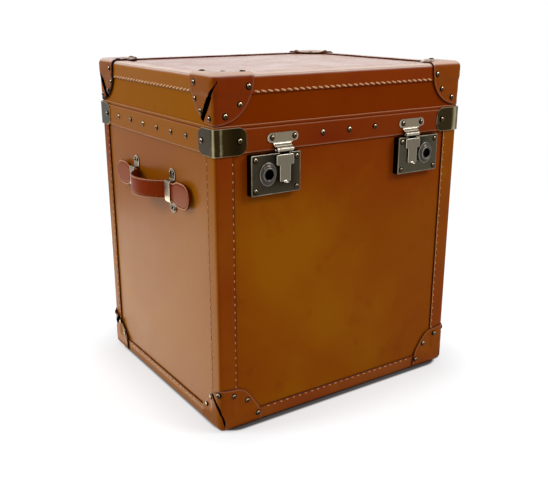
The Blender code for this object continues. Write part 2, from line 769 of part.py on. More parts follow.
def bracket():
    """A bent plate round the band's corner, with its free corners rounded off."""
    corner_x, corner_y = offset(BRACKET_OUT)
    low = SEAM_HEIGHT - BRACKET_DROP
    high = low + BRACKET_HEIGHT
    plan = angle_outline(BAND_OUT + GAP, BRACKET_OUT, BRACKET_FRONT_LEG + GAP, BRACKET_SIDE_LEG + GAP)
    bent = prism(plan, "z", low, high)
    outlines = []
    for leg, corner in ((BRACKET_FRONT_LEG, corner_x), (BRACKET_SIDE_LEG, corner_y)):
        free = corner - leg
        reach = corner + 2 * BRACKET_FILLET
        corners = [(free, low - GAP), (reach, low - GAP), (reach, high + GAP), (free, high + GAP)]
        outlines.append(rounded(corners, BRACKET_FILLET))
    back = prism(outlines[0], "y", corner_y - OVERRUN, corner_y + OVERRUN)
    side = prism(outlines[1], "x", corner_x - OVERRUN, corner_x + OVERRUN)
    height = SEAM_HEIGHT + BAND_NAIL_RISE
    on_front = nail((corner_x - BRACKET_FRONT_NAIL, corner_y, height), (0, 1, 0))
    on_side = nail((corner_x, corner_y - BRACKET_SIDE_NAIL, height), (1, 0, 0))
    return united(combined(bent, united(back, side), "INTERSECT"), group([on_front, on_side]))


def make_band(lid):
    piece("lid_band", united(lid_band(), band_nails()), DEEP_TAN, lid)
    piece_each_corner("band_bracket", bracket(), DARK_BRONZE, lid)


# Locks, drawn on the right and mirrored to the left


def case_ring(inset, out):
    """One rounded rectangle of the lock case, this far inside its outline."""
    half_x = CASE_WIDTH / 2 - inset
    half_z = CASE_HEIGHT / 2 - inset
    corners = [(CASE_X - half_x, CASE_MIDDLE - half_z), (CASE_X + half_x, CASE_MIDDLE - half_z)]
    corners += [(CASE_X + half_x, CASE_MIDDLE + half_z), (CASE_X - half_x, CASE_MIDDLE + half_z)]
    return [(x, front(out), z) for x, z in rounded(corners, CASE_EDGE_RADIUS)]


def case_rivets():
    heads = []
    for side_x, side_z in CORNERS:
        place = (CASE_X + side_x * CASE_RIVET_X, front(CASE_OUT), CASE_MIDDLE + side_z * CASE_RIVET_Z)
        heads.append(rivet(place, (0, -1, 0)))
    return group(heads)


def lock_case():
    """A pressed box, open at its back, with a channel for the hasp's tongue and a slot for the knob."""
    rounding = arc((CASE_EDGE_RADIUS, CASE_OUT - CASE_EDGE_RADIUS), CASE_EDGE_RADIUS, 180, 90, 2)
    outer = loft([case_ring(0, GAP)] + [case_ring(inset, out) for inset, out in rounding])
    room_x = CASE_WIDTH / 2 - CASE_WALL
    room_low = (CASE_X - room_x, front(CASE_OUT - CASE_WALL), CASE_BOTTOM + CASE_WALL)
    room = block(room_low, (CASE_X + room_x, front(GAP - OVERRUN), CASE_TOP - CASE_WALL))
    half_channel = TONGUE_WIDTH / 2 + TONGUE_CLEARANCE
    channel_low = KNOB_Z - TONGUE_HEIGHT / 2 - TONGUE_CLEARANCE
    channel_in = CASE_OUT - TONGUE_REACH - OVERRUN
    low = (HASP_X - half_channel, front(CASE_OUT + OVERRUN), channel_low)
    channel = block(low, (HASP_X + half_channel, front(channel_in), CASE_TOP + OVERRUN))
    slot_radius = NECK_RADIUS + GAP
    slot_outline = arc((KNOB_X + KNOB_TRAVEL, KNOB_Z), slot_radius, -90, 90, 6)
    slot_outline += arc((KNOB_X, KNOB_Z), slot_radius, 90, 270, 6)
    slot = prism(slot_outline, "y", front(CASE_OUT + OVERRUN), front(CASE_OUT - CASE_WALL - OVERRUN))
    return united(cut(outer, room, channel, slot), case_rivets())


def lock_spring():
    """A bowed leaf between the bolt's tail and the end wall of the case."""
    apex = BOLT_END + GAP
    depth = CASE_X + CASE_WIDTH / 2 - CASE_WALL - GAP - SPRING_SHEET - apex
    near = []
    far = []
    for share in SPRING_SHARES:
        height = KNOB_Z + share * SPRING_HEIGHT / 2
        near.append((apex + depth * share**2, height))
        far.append((apex + depth * share**2 + SPRING_SHEET, height))
    return prism(near + far[::-1], "y", front(BOLT_OUT), front(BOLT_OUT - SPRING_WIDTH))


def lock_knob():
    """A turned knob with a round key hole, whose neck runs through the slot to the bolt."""
    base = CASE_OUT + GAP
    face = base + KNOB_HEIGHT
    flank = []
    for wide, high in KNOB_FLANK_SHARES:
        radius = KNOB_RIM_RADIUS + (KNOB_BASE_RADIUS - KNOB_RIM_RADIUS) * wide
        flank.append((radius, base + KNOB_EDGE + (KNOB_HEIGHT - KNOB_EDGE) * high))
    profile = [(0, NECK_IN), (NECK_RADIUS, NECK_IN), (NECK_RADIUS, base), (KNOB_BASE_RADIUS, base)]
    profile += [(KNOB_BASE_RADIUS, base + KNOB_EDGE), *flank, (KNOB_RIM_RADIUS - KNOB_EDGE, face)]
    profile += [(KNOB_HOLE_RADIUS + KNOB_EDGE / 2, face), (KNOB_HOLE_RADIUS, face - KNOB_EDGE / 2)]
    profile += [(KNOB_HOLE_RADIUS, face - KNOB_HOLE_DEPTH), (0, face - KNOB_HOLE_DEPTH)]
    return turned((KNOB_X, -HALF_DEPTH, KNOB_Z), Vector((0, -1, 0)), profile, KNOB_SIDES)


def lock_bolt():
    """A flat bolt behind the slot, with a narrow nose beside the hasp's tongue."""
    half = BOLT_HEIGHT / 2
    nose = NOSE_HEIGHT / 2
    outline = [(NOSE_START, -nose), (BOLT_START, -nose), (BOLT_START, -half), (BOLT_END, -half)]
    outline += [(BOLT_END, half), (BOLT_START, half), (BOLT_START, nose), (NOSE_START, nose)]
    return prism([(x, KNOB_Z + z) for x, z in outline], "y", front(BOLT_OUT), front(BOLT_IN))


def make_locks(root):
    piece_each_side("lock_case", lock_case(), DARK_BRONZE, root)
    piece_each_side("lock_spring", lock_spring(), STEEL, root)
    knob = lock_knob()
    bolt = lock_bolt()
    for name, side in SIDES:
        slide = pivot("lock_slide_" + name, (side * KNOB_X, front(CASE_OUT), KNOB_Z), root)
        piece("lock_knob_" + name, mirrored(knob, side), STEEL, slide)
        piece("lock_bolt_" + name, mirrored(bolt, side), STEEL, slide)


# Hasps and their hinge plates, drawn on the right and mirrored to the left


def barrel(axis_out, axis_z, radius, start, end):
    """A hinge knuckle along x on the front, from one place to another."""
    return rod("x", (front(axis_out), axis_z), radius, start, end)


def latch_bore(radius):
    return barrel(LATCH_AXIS_OUT, LATCH_AXIS_Z, radius, HASP_X - LATCH_FOOT_WIDTH, HASP_X + LATCH_FOOT_WIDTH)


def hasp_outline():
    """Front outline of the hasp's plate: a neck, a wide shoulder and a narrower tail."""
    neck = HASP_KNUCKLE / 2
    wide = HASP_WIDE / 2
    narrow = HASP_NARROW / 2
    half = [(narrow, -HASP_DROP), (narrow, -HASP_WIDE_DROP), (wide, -HASP_WIDE_DROP)]
    half += [(wide, -HASP_NECK_DROP), (neck, -HASP_NECK_DROP), (neck, 0)]
    corners = half + [(-x, z) for x, z in reversed(half)]
    return [(HASP_X + x, LATCH_AXIS_Z + z) for x, z in rounded(corners, HASP_FILLET)]


def hasp():
    """A hanging hasp: knuckle, plate, the tongue that enters the case and the finger lip."""
    plate = prism(hasp_outline(), "y", front(HASP_OUT), front(HASP_IN))
    half = HASP_KNUCKLE / 2
    knuckle = barrel(LATCH_AXIS_OUT, LATCH_AXIS_Z, LATCH_BARREL_RADIUS, HASP_X - half, HASP_X + half)
    neck_low = (HASP_X - half, front(HASP_OUT), LATCH_AXIS_Z - HASP_NECK_DROP - HASP_FILLET)
    neck = block(neck_low, (HASP_X + half, front(HASP_IN), LATCH_AXIS_Z))
    tongue_half = TONGUE_HEIGHT / 2
    tongue_low = (HASP_X - TONGUE_WIDTH / 2, front(HASP_IN + HASP_SHEET / 2), KNOB_Z - tongue_half)
    tongue_high = (HASP_X + TONGUE_WIDTH / 2, front(HASP_IN - TONGUE_REACH), KNOB_Z + tongue_half)
    eye_low = (HASP_X - TONGUE_WIDTH, front(BOLT_OUT + GAP), KNOB_Z - NOSE_HEIGHT / 2 - GAP)
    eye_high = (HASP_X + TONGUE_WIDTH, front(BOLT_IN - GAP), KNOB_Z + NOSE_HEIGHT / 2 + GAP)
    tongue = cut(block(tongue_low, tongue_high), block(eye_low, eye_high))
    lip_foot = LATCH_AXIS_Z - HASP_DROP - LIP_HEIGHT * LIP_SHARES[-1][1]
    lip_outline = [(front(HASP_IN + LIP_REACH * out), lip_foot + LIP_HEIGHT * up) for out, up in LIP_SHARES]
    lip = prism(lip_outline, "x", HASP_X - LIP_WIDTH / 2, HASP_X + LIP_WIDTH / 2)
    return cut(united(plate, knuckle, neck, tongue, lip), latch_bore(PIN_RADIUS + GAP))


def latch_plate():
    """The plate riveted to the band, bent out at its foot into the outer knuckles."""
    foot = LATCH_FOOT_WIDTH / 2
    lobe_z = LATCH_TOP_RISE - LATCH_LOBE_RADIUS
    half = [(foot, LATCH_FOOT_RISE)] + arc((LATCH_LOBE_X, lobe_z), LATCH_LOBE_RADIUS, -90, 90, 6)
    outline = [(HASP_X + x, SEAM_HEIGHT + z) for x, z in half + [(-x, z) for x, z in reversed(half)]]
    plate = prism(outline, "y", front(LATCH_IN), front(LATCH_OUT))
    radius = LATCH_BARREL_RADIUS
    web_outline = (
        (front(LATCH_IN), SEAM_HEIGHT + LATCH_FOOT_RISE + LATCH_SHEET),
        (front(LATCH_OUT), SEAM_HEIGHT + LATCH_FOOT_RISE + 2 * LATCH_SHEET),
        (front(LATCH_AXIS_OUT), LATCH_AXIS_Z + radius),
        (front(LATCH_AXIS_OUT), LATCH_AXIS_Z),
        (front(LATCH_AXIS_OUT - radius), LATCH_AXIS_Z),
        (front(LATCH_IN), SEAM_HEIGHT + LATCH_FOOT_RISE - LATCH_SHEET),
    )
    end = HASP_KNUCKLE / 2 + GAP + LATCH_KNUCKLE
    web = prism(web_outline, "x", HASP_X - end, HASP_X + end)
    knuckles = barrel(LATCH_AXIS_OUT, LATCH_AXIS_Z, radius, HASP_X - end, HASP_X + end)
    half_room = HASP_KNUCKLE / 2 + GAP
    room = barrel(
        LATCH_AXIS_OUT, LATCH_AXIS_Z, radius + LATCH_WEB_CLEARANCE, HASP_X - half_room, HASP_X + half_room
    )
    bent = cut(united(plate, web, knuckles), room, latch_bore(PIN_RADIUS + GAP))
    places = [(HASP_X + side * LATCH_LOBE_X, front(LATCH_OUT), SEAM_HEIGHT + lobe_z) for side in (-1, 1)]
    return united(bent, group([rivet(place, (0, -1, 0)) for place in places]))


def pin(place, half_length, radius):
    """A pin along x with a low head at each end, one gap outside the knuckles."""
    end = half_length + GAP
    head = radius + PIN_HEAD
    profile = [(0, -end - PIN_HEAD), (radius, -end - PIN_HEAD), (head, -end - PIN_HEAD / 2), (head, -end)]
    profile += [(radius, -end), (radius, end), (head, end), (head, end + PIN_HEAD / 2)]
    profile += [(radius, end + PIN_HEAD), (0, end + PIN_HEAD)]
    return turned(place, Vector((1, 0, 0)), profile, DOME_SIDES)


def make_latches(lid):
    piece_each_side("latch_plate", latch_plate(), OLD_BRASS, lid)
    half_length = HASP_KNUCKLE / 2 + GAP + LATCH_KNUCKLE
    place = (HASP_X, front(LATCH_AXIS_OUT), LATCH_AXIS_Z)
    piece_each_side("hasp_pin", pin(place, half_length, PIN_RADIUS), OLD_BRASS, lid)
    swinging = hasp()
    for name, side in SIDES:
        axis = pivot("hasp_axis_" + name, (side * HASP_X, front(LATCH_AXIS_OUT), LATCH_AXIS_Z), lid)
        piece("hasp_" + name, mirrored(swinging, side), STEEL, axis)


# Back hinges, drawn on the right and mirrored to the left


def hinge_rod(radius, start, end):
    return rod("x", (HALF_DEPTH + HINGE_AXIS_OUT, SEAM_HEIGHT), radius, HINGE_X + start, HINGE_X + end)


def hinge_leaf(inner, low, high):
    """A flat leaf with rounded corners, its inner face this far out from the leather."""
    half = HINGE_WIDTH / 2
    corners = [(HINGE_X - half, low), (HINGE_X + half, low), (HINGE_X + half, high), (HINGE_X - half, high)]
    start = HALF_DEPTH + inner
    return prism(rounded(corners, HINGE_FILLET), "y", start, start + HINGE_SHEET)


def hinge_lid_leaf():
    """The leaf on the band, with a tab down to the middle knuckle."""
    half = HINGE_KNUCKLE / 2 - GAP
    low = SEAM_HEIGHT + HINGE_BARREL_RADIUS + 2 * HINGE_SHEET
    leaf = hinge_leaf(BAND_OUT + GAP, low, SEAM_HEIGHT + HINGE_LID_RISE)
    inner = HALF_DEPTH + BAND_OUT + GAP
    tab = block((HINGE_X - half, inner, SEAM_HEIGHT), (HINGE_X + half, inner + HINGE_SHEET, low + HINGE_SHEET))
    knuckle = hinge_rod(HINGE_BARREL_RADIUS, -half, half)
    bored = cut(united(leaf, tab, knuckle), hinge_rod(PIN_RADIUS + GAP, -HINGE_WIDTH, HINGE_WIDTH))
    height = SEAM_HEIGHT + HINGE_LID_RISE - HINGE_SCREW_EDGE
    return united(bored, hinge_screws(BAND_OUT + GAP + HINGE_SHEET, height))


def hinge_body_leaf():
    """The leaf on the body, with a web that steps out under the band to the outer knuckles."""
    half = HINGE_WIDTH / 2
    room_half = HINGE_KNUCKLE / 2
    web_low = SEAM_HEIGHT - HINGE_WEB_DROP
    leaf = hinge_leaf(GAP, SEAM_HEIGHT - HINGE_BODY_DROP, web_low)
    axis_y = HALF_DEPTH + HINGE_AXIS_OUT
    inner = HALF_DEPTH + GAP
    web_outline = (
        (inner, web_low - HINGE_SHEET),
        (inner + HINGE_SHEET, web_low - 2 * HINGE_SHEET),
        (axis_y, SEAM_HEIGHT - HINGE_BARREL_RADIUS),
        (axis_y, SEAM_HEIGHT),
        (axis_y - HINGE_BARREL_RADIUS, SEAM_HEIGHT - GAP),
        (inner, web_low + HINGE_SHEET),
    )
    web = prism(web_outline, "x", HINGE_X - half, HINGE_X + half)
    knuckles = hinge_rod(HINGE_BARREL_RADIUS, -half, half)
    room = hinge_rod(HINGE_BARREL_RADIUS + HINGE_SHEET, -room_half, room_half)
    bored = cut(united(leaf, web, knuckles), room, hinge_rod(PIN_RADIUS + GAP, -HINGE_WIDTH, HINGE_WIDTH))
    height = SEAM_HEIGHT - HINGE_BODY_DROP + HINGE_SCREW_EDGE
    return united(bored, hinge_screws(GAP + HINGE_SHEET, height))


def hinge_screws(out, height):
    """Three low heads along a leaf."""
    places = [(HINGE_X + side * HINGE_SCREW_X, HALF_DEPTH + out, height) for side in (-1, 0, 1)]
    return group([rivet(place, (0, 1, 0)) for place in places])


def make_hinges(root, lid):
    place = (HINGE_X, HALF_DEPTH + HINGE_AXIS_OUT, SEAM_HEIGHT)
    piece_each_side("hinge_body_leaf", hinge_body_leaf(), OLD_BRASS, root)
    piece_each_side("hinge_pin", pin(place, HINGE_WIDTH / 2, PIN_RADIUS), OLD_BRASS, root)
    piece_each_side("hinge_lid_leaf", hinge_lid_leaf(), OLD_BRASS, lid)


# Handles, drawn on the right and mirrored to the left


def handle_loop():
    """A bent loop that stands round the strap, with a nailed tab above and below it."""
    inner = STRAP_WIDTH / 2 + STRAP_CLEARANCE
    outer = inner + LOOP_SHEET
    tab = outer + LOOP_TAB
    face = HALF_WIDTH + GAP
    lift = HALF_WIDTH + LOOP_OUT
    half = LOOP_WIDTH / 2
    section = [(face, outer - LOOP_SHEET), (face, tab - LOOP_SHEET), (face + LOOP_SHEET, tab - LOOP_SHEET)]
    section += [(face + LOOP_SHEET, outer), (lift - LOOP_SHEET, outer), (lift, outer - LOOP_SHEET)]
    outline = section + [(x, -z) for x, z in reversed(section)]
    hollow = [(face, -inner), (HALF_WIDTH + LOOP_IN, -inner), (HALF_WIDTH + LOOP_IN, inner), (face, inner)]
    outline += hollow
    bent = prism([(x, HANDLE_HEIGHT + z) for x, z in outline], "y", LOOP_Y - half, LOOP_Y + half)
    solids = [bent]
    for side in (-1, 1):
        levels = sorted((HANDLE_HEIGHT + side * (outer + LOOP_SHEET), HANDLE_HEIGHT + side * tab))
        wide = LOOP_TAB_WIDTH / 2
        low = (face, LOOP_Y - wide, levels[0])
        solids.append(block(low, (face + LOOP_SHEET, LOOP_Y + wide, levels[1])))
    return united(*solids)


def loop_nails():
    """Two small nails side by side on each tab."""
    heads = []
    for side_z in (-1, 1):
        for side_y in (-1, 1):
            height = HANDLE_HEIGHT + side_z * LOOP_NAIL_RISE
            place = (HALF_WIDTH + GAP + LOOP_SHEET, LOOP_Y + side_y * LOOP_NAIL_SPACING / 2, height)
            heads.append(dome(place, (1, 0, 0), LOOP_NAIL_RADIUS, NAIL_HEIGHT))
    return group(heads)


def strap_bow(along):
    """How far the strap bows out beyond its run through the loops."""
    share = min(abs(along) / STRAP_BOW_HALF_LENGTH, 1)
    return STRAP_BOW * (1 - share**STRAP_FULLNESS)


def strap_half_width(along):
    """Half the strap's width: narrow to beyond the loops, then flaring into a round-ended paddle."""
    neck_end = LOOP_Y + LOOP_WIDTH / 2 + STRAP_TRAVEL + 2 * STRAP_CLEARANCE
    round_start = STRAP_HALF_LENGTH - PADDLE_WIDTH / 2
    distance = abs(along)
    if distance <= neck_end:
        return STRAP_WIDTH / 2
    if distance <= round_start:
        share = min((distance - neck_end) / PADDLE_FLARE, 1)
        return (STRAP_WIDTH + (PADDLE_WIDTH - STRAP_WIDTH) * share) / 2
    return math.sqrt(max((PADDLE_WIDTH / 2) ** 2 - (distance - round_start) ** 2, 0))


def strap_stations():
    """Places along the strap, from its middle to its far end."""
    places = [STRAP_BOW_HALF_LENGTH * step / STRAP_BOW_STEPS for step in range(1, STRAP_BOW_STEPS + 1)]
    neck_end = LOOP_Y + LOOP_WIDTH / 2 + STRAP_TRAVEL + 2 * STRAP_CLEARANCE
    places += [LOOP_Y, neck_end, neck_end + PADDLE_FLARE]
    round_start = STRAP_HALF_LENGTH - PADDLE_WIDTH / 2
    for step in range(PADDLE_STEPS):
        angle = math.radians(85 * step / (PADDLE_STEPS - 1))
        places.append(round_start + PADDLE_WIDTH / 2 * math.sin(angle))
    return places


def strap_section(along):
    """An eight-sided section square to the strap's run."""
    slope = (strap_bow(along + WELD) - strap_bow(along - WELD)) / (2 * WELD)
    normal = Vector((1, -slope)).normalized()
    centre = Vector((HALF_WIDTH + (STRAP_STANDOFF + STRAP_OUT) / 2 + strap_bow(along), along))
    half = STRAP_THICKNESS / 2
    tall = strap_half_width(along)
    bevel = min(STRAP_CHAMFER, tall / 2)
    quarter = [(half, tall - bevel), (half - bevel, tall)]
    ring_points = quarter + [(-n, z) for n, z in reversed(quarter)]
    ring_points += [(-n, -z) for n, z in quarter] + [(n, -z) for n, z in reversed(quarter)]
    return [(*(centre + normal * n), HANDLE_HEIGHT + z) for n, z in ring_points]


def handle_strap():
    """The whole strap: grip, bowed out between the loops, and a paddle at each end."""
    places = strap_stations()
    stations = [-place for place in reversed(places)] + [0] + places
    return loft([strap_section(along) for along in stations])


def make_handles(root):
    piece_each_corner("handle_loop", united(handle_loop(), loop_nails()), OLD_BRASS, root)
    strap = handle_strap()
    for name, side in SIDES:
        slide = pivot("handle_slide_" + name, (side * (HALF_WIDTH + STRAP_OUT), 0, HANDLE_HEIGHT), root)
        piece("handle_strap_" + name, mirrored(strap, side), STRAP_BROWN, slide)


def clear_scene():
    for item in list(bpy.data.objects):
        bpy.data.objects.remove(item, do_unlink=True)


def main():
    clear_scene()
    root = pivot("trunk_centre", (0, 0, 0))
    root.location = (0, CENTRE_Y, 0)
    lid = pivot("lid_axis", (0, HALF_DEPTH + HINGE_AXIS_OUT, SEAM_HEIGHT), root)
    make_body_boards(root)
    make_body_lining(root)
    make_body_leather(root)
    make_corner_strips(root)
    make_base(root)
    make_lid_shell(lid)
    make_lid_lining(lid)
    make_lid_caps(lid)
    make_band(lid)
    make_locks(root)
    make_latches(lid)
    make_hinges(root, lid)
    make_handles(root)


main()
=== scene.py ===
"""The leather trunk: its looks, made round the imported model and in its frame, in metres."""

import math

import bmesh
import bpy
import numpy as np
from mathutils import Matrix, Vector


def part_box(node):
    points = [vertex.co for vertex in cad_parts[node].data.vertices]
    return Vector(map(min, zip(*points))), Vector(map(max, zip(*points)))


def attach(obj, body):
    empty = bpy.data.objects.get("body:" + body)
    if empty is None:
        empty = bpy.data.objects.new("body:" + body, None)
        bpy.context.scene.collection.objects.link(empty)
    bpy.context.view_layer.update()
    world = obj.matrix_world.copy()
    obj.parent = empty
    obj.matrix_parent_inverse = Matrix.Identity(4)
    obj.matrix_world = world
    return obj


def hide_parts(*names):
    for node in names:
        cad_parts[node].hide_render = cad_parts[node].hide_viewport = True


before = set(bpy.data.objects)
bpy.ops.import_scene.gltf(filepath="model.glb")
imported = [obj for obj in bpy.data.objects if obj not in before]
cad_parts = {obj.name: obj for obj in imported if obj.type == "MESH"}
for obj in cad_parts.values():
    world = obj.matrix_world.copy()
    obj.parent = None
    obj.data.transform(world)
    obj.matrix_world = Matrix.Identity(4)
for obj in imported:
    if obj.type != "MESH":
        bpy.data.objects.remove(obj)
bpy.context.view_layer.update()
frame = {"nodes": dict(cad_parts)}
nodes = frame["nodes"]


# Carcass: a glued box of birch plywood, and a lid frame with its top board. The wood shows only
# where the lining ends, so it is planed, left bare and slightly yellowed.


def tone(red, green, blue):
    """A colour given as it looks on screen, 0 to 255, as the shader's linear values."""
    return (*[(channel / 255) ** 2.2 for channel in (red, green, blue)], 1)


class Nodes:
    """The nodes of a material or of the world. Most methods add one and return its output."""

    def __init__(self, owner):
        owner.use_nodes = True
        self.tree = owner.node_tree

    def fill(self, node, sockets):
        for socket, value in sockets.items():
            target = node.inputs[socket.replace("_", " ") if isinstance(socket, str) else socket]
            if isinstance(value, bpy.types.NodeSocket):
                self.tree.links.new(value, target)
            else:
                target.default_value = value

    def add(self, kind, sockets, output=0, **settings):
        node = self.tree.nodes.new("ShaderNode" + kind)
        for key, value in settings.items():
            setattr(node, key, value)
        self.fill(node, sockets)
        return node.outputs[output]

    def place(self, shift=(0, 0, 0), scale=(1, 1, 1)):
        """Places on the piece in metres, moved and stretched."""
        spot = self.add("TexCoord", {}, "Object")
        return self.add("Mapping", {"Vector": spot, "Location": shift, "Scale": scale})

    def along(self, axis, kind="Object"):
        """One axis of the place, or of the way that the surface faces, as a plain value."""
        return self.add("SeparateXYZ", {"Vector": self.add("TexCoord", {}, kind)}, axis)

    def noise(self, place, scale, detail=4.0, rough=0.55, warp=0.0):
        sockets = {"Vector": place, "Scale": scale, "Detail": detail, "Roughness": rough}
        return self.add("TexNoise", {**sockets, "Distortion": warp})

    def mark(self):
        """The wear, and the painted light and shade, stored on the piece's own points."""
        return self.add("Attribute", {}, "Fac", attribute_name="edge")

    def spread(self, value, low, high, to_low=0.0, to_high=1.0):
        """Maps the stretch from low to high smoothly onto to_low to to_high."""
        sockets = {"Value": value, "From Min": low, "From Max": high, "To Min": to_low, "To Max": to_high}
        return self.add("MapRange", sockets, interpolation_type="SMOOTHSTEP")

    def maths(self, operation, first, second=0.0):
        return self.add("Math", {0: first, 1: second}, operation=operation)

    def coats(self, colour, *coats):
        """Lays colours over a first one. Each is given with the value that it follows and its spread."""
        for over, *where in coats:
            colour = self.add("Mix", {0: self.spread(*where), 6: colour, 7: over}, 2, data_type="RGBA")
        return colour

    def relief(self, height, depth, over=None):
        """A bump this deep in metres, over an earlier one."""
        sockets = {"Height": height, "Distance": depth, "Strength": 1.0}
        if over is not None:
            sockets["Normal"] = over
        return self.add("Bump", sockets)


class Finish(Nodes):
    """A finish for one piece: its shader and the nodes that lead to it."""

    def __init__(self, name, **sockets):
        self.material = bpy.data.materials.new(name)
        super().__init__(self.material)
        self.shader = self.tree.nodes["Principled BSDF"]
        self.fill(self.shader, sockets)

    def done(self, **sockets):
        self.fill(self.shader, sockets)
        return self.material


def planed_wood(name, seed):
    """Long pale grain lines along the board, over a slow change of tone."""
    finish = Finish(name + "_finish", IOR=1.45)
    grain = finish.noise(finish.place((seed, seed, seed), (4, 4, 60)), 4, 6, 0.6, 0.6)
    colour = finish.coats(tone(214, 182, 138), (tone(176, 138, 92), grain, 0.35, 0.7))
    return finish.done(Base_Color=colour, Roughness=0.62, Normal=finish.relief(grain, 0.0001))


def dress(node, material):
    """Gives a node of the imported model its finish."""
    item = nodes[node]
    item.data.materials.clear()
    item.data.materials.append(material)


BOARDS = ("base", "front", "back", "left", "right")
for number, node in enumerate([*[side + "_board" for side in BOARDS], "lid_frame", "lid_top_board"]):
    dress(node, planed_wood(node, number * 0.37))


# Linings: cotton cloth pasted into the body and the lid and turned out over both rims, where it
# is the soft line that the lid closes on.


def lining_cloth(name, seed):
    """A plain weave: three sets of fine ribs that cross on every side of the box."""
    finish = Finish(name + "_finish", Sheen_Weight=0.25, Sheen_Roughness=0.5, IOR=1.4)
    waves = {"Vector": finish.add("TexCoord", {}, "Object"), "Scale": 330.0, "Distortion": 0.6}
    ribs = [finish.add("TexWave", waves, "Fac", bands_direction=axis) for axis in "XYZ"]
    weave = finish.maths("MULTIPLY", finish.maths("ADD", ribs[0], ribs[1]), ribs[2])
    stain = finish.noise(finish.place((seed, 0, seed)), 7, 5, 0.6)
    stained = (tone(146, 122, 90), stain, 0.35, 0.75)
    colour = finish.coats(tone(176, 154, 122), stained, (tone(96, 76, 52), weave, 0.0, 1.2, 0.22, 0.0))
    return finish.done(Base_Color=colour, Roughness=0.88, Normal=finish.relief(weave, 0.00012))


dress("body_lining", lining_cloth("body_lining", 0.0))
dress("lid_lining", lining_cloth("lid_lining", 2.4))


# Leather panels: one hide panel glued on each side, and the lid's side and top. Vegetable-tanned
# cowhide, waxed and polished by hand, darker and redder towards the lid as a painted shade under
# the band, with a fine pore grain and a few rubs.

HIDE = (tone(124, 42, 0), tone(138, 70, 1), tone(152, 92, 8))
LID_HIDE = (tone(112, 36, 0), tone(122, 49, 0), tone(136, 65, 3))
LEFT_LIGHT_TONE = tone(160, 98, 10)
# Dark tones for burnished edges and painted shadow, and a pale tone and share for painted highlights.
BURNISH_AND_SHADE, DYE_AND_SHADOW_BLACK = tone(52, 18, 6), tone(10, 4, 3)
EDGE_HIGHLIGHT = (tone(196, 126, 66), 0.5)
SEAM_LEVEL = 0.423


def waxed_leather(name, seed, hide=HIDE, ior=1.12, gloss=(0.27, 0.36), painted_shade_above=None, burnish_and_painted_light=BURNISH_AND_SHADE,
                  painted_left_light=0.0, pale=EDGE_HIGHLIGHT, creasing=0.00016):
    """Slow clouds of dye, smaller blotches and specks, pores and fine creases, rubbed by use.

    Where the "edge" mark is above zero the leather is dark, partly burnished and partly painted
    shadow, and black from two up, a painted shadow in slits and gaps; below zero it turns to the pale
    tone, a painted highlight. Up towards the height given the colour turns to the deepest tone, a
    painted shade under the band. Where it faces left the colour is lightened by the share given, a
    painted light.
    """
    deep, middle, bright = hide
    finish = Finish(name + "_finish", IOR=ior)
    place = finish.place((seed, seed * 0.7, seed * 1.3))
    clouds = finish.noise(place, 3.6, 3, 0.5, 0.4)
    blotches = finish.noise(place, 17, 5, 0.6, 0.4)
    specks = finish.noise(place, 140, 4, 0.6)
    rubs = finish.noise(finish.place((seed, 3, 1), (15, 15, 2.4)), 9, 5, 0.7, 0.3)
    edge = finish.mark()
    coats = [
        (deep, clouds, 0.28, 0.52, 0.6, 0.0),
        (bright, clouds, 0.5, 0.74, 0.0, 0.7),
        (bright, blotches, 0.55, 0.8, 0.0, 0.28),
        (deep, blotches, 0.24, 0.44, 0.3, 0.0),
        (deep, specks, 0.6, 0.75, 0.0, 0.14),
    ]
    # Painted shade: the colour deepens up towards the band.
    if painted_shade_above is not None:
        height = finish.maths("ADD", finish.along(2), finish.spread(blotches, 0.3, 0.7, -0.03, 0.03))
        coats.append((deep, height, painted_shade_above - 0.16, painted_shade_above + 0.03, 0.0, 0.62))
    # Painted light: surfaces that face left are lightened towards a paler orange.
    if painted_left_light:
        coats.append((LEFT_LIGHT_TONE, finish.along(0, "Normal"), -0.6, -0.97, 0.0, painted_left_light))
    coats += [
        (bright, rubs, 0.68, 0.74, 0.0, 0.14),
        # The edge mark: dark for burnished edges and painted shadow, black for painted shadow in slits and
        # gaps, pale for painted highlights.
        (burnish_and_painted_light, edge, 0.04, 1.0, 0.0, 0.92),
        (DYE_AND_SHADOW_BLACK, edge, 1.2, 2.0),
        (pale[0], edge, -1.0, -0.04, pale[1], 0.0),
    ]
    rough = finish.spread(blotches, 0.3, 0.7, *gloss)
    for value, low, high, more in ((rubs, 0.6, 0.75, 0.06), (edge, 1.2, 2.0, 0.5)):
        rough = finish.maths("ADD", rough, finish.spread(value, low, high, 0.0, more))
    creases = finish.relief(finish.noise(place, 80, 5, 0.6, 0.2), creasing)
    pores = finish.spread(finish.add("TexVoronoi", {"Vector": place, "Scale": 520}), 0.0, 0.55)
    bump = finish.relief(pores, 0.00003, creases)
    return finish.done(Base_Color=finish.coats(middle, *coats), Roughness=rough, Normal=bump)


for node, seed, look in (
    ("leather_front", 1.9, {"ior": 1.1, "painted_shade_above": SEAM_LEVEL}),
    ("leather_left", 4.2, {"ior": 1.16, "gloss": (0.28, 0.34), "painted_left_light": 0.5}),
    ("leather_right", 6.5, {"painted_shade_above": SEAM_LEVEL}),
    ("leather_back", 8.8, {"painted_shade_above": SEAM_LEVEL}),
    ("lid_side_leather", 11.1, {"hide": LID_HIDE, "ior": 1.06, "painted_left_light": 0.8}),
    ("lid_top_leather", 5.1, {"ior": 1.38, "gloss": (0.26, 0.34), "creasing": 0.00005}),
):
    dress(node, waxed_leather(node, seed, **look))


# Corner strips: an angle of bridle leather glued over each upright edge, creased along its free
# edges and sewn down there. Pieces are drawn at the right back corner or on the back, and mirrored.


def mm(*values):
    """Sizes given in millimetres, as metres."""
    return np.array(values) / 1000


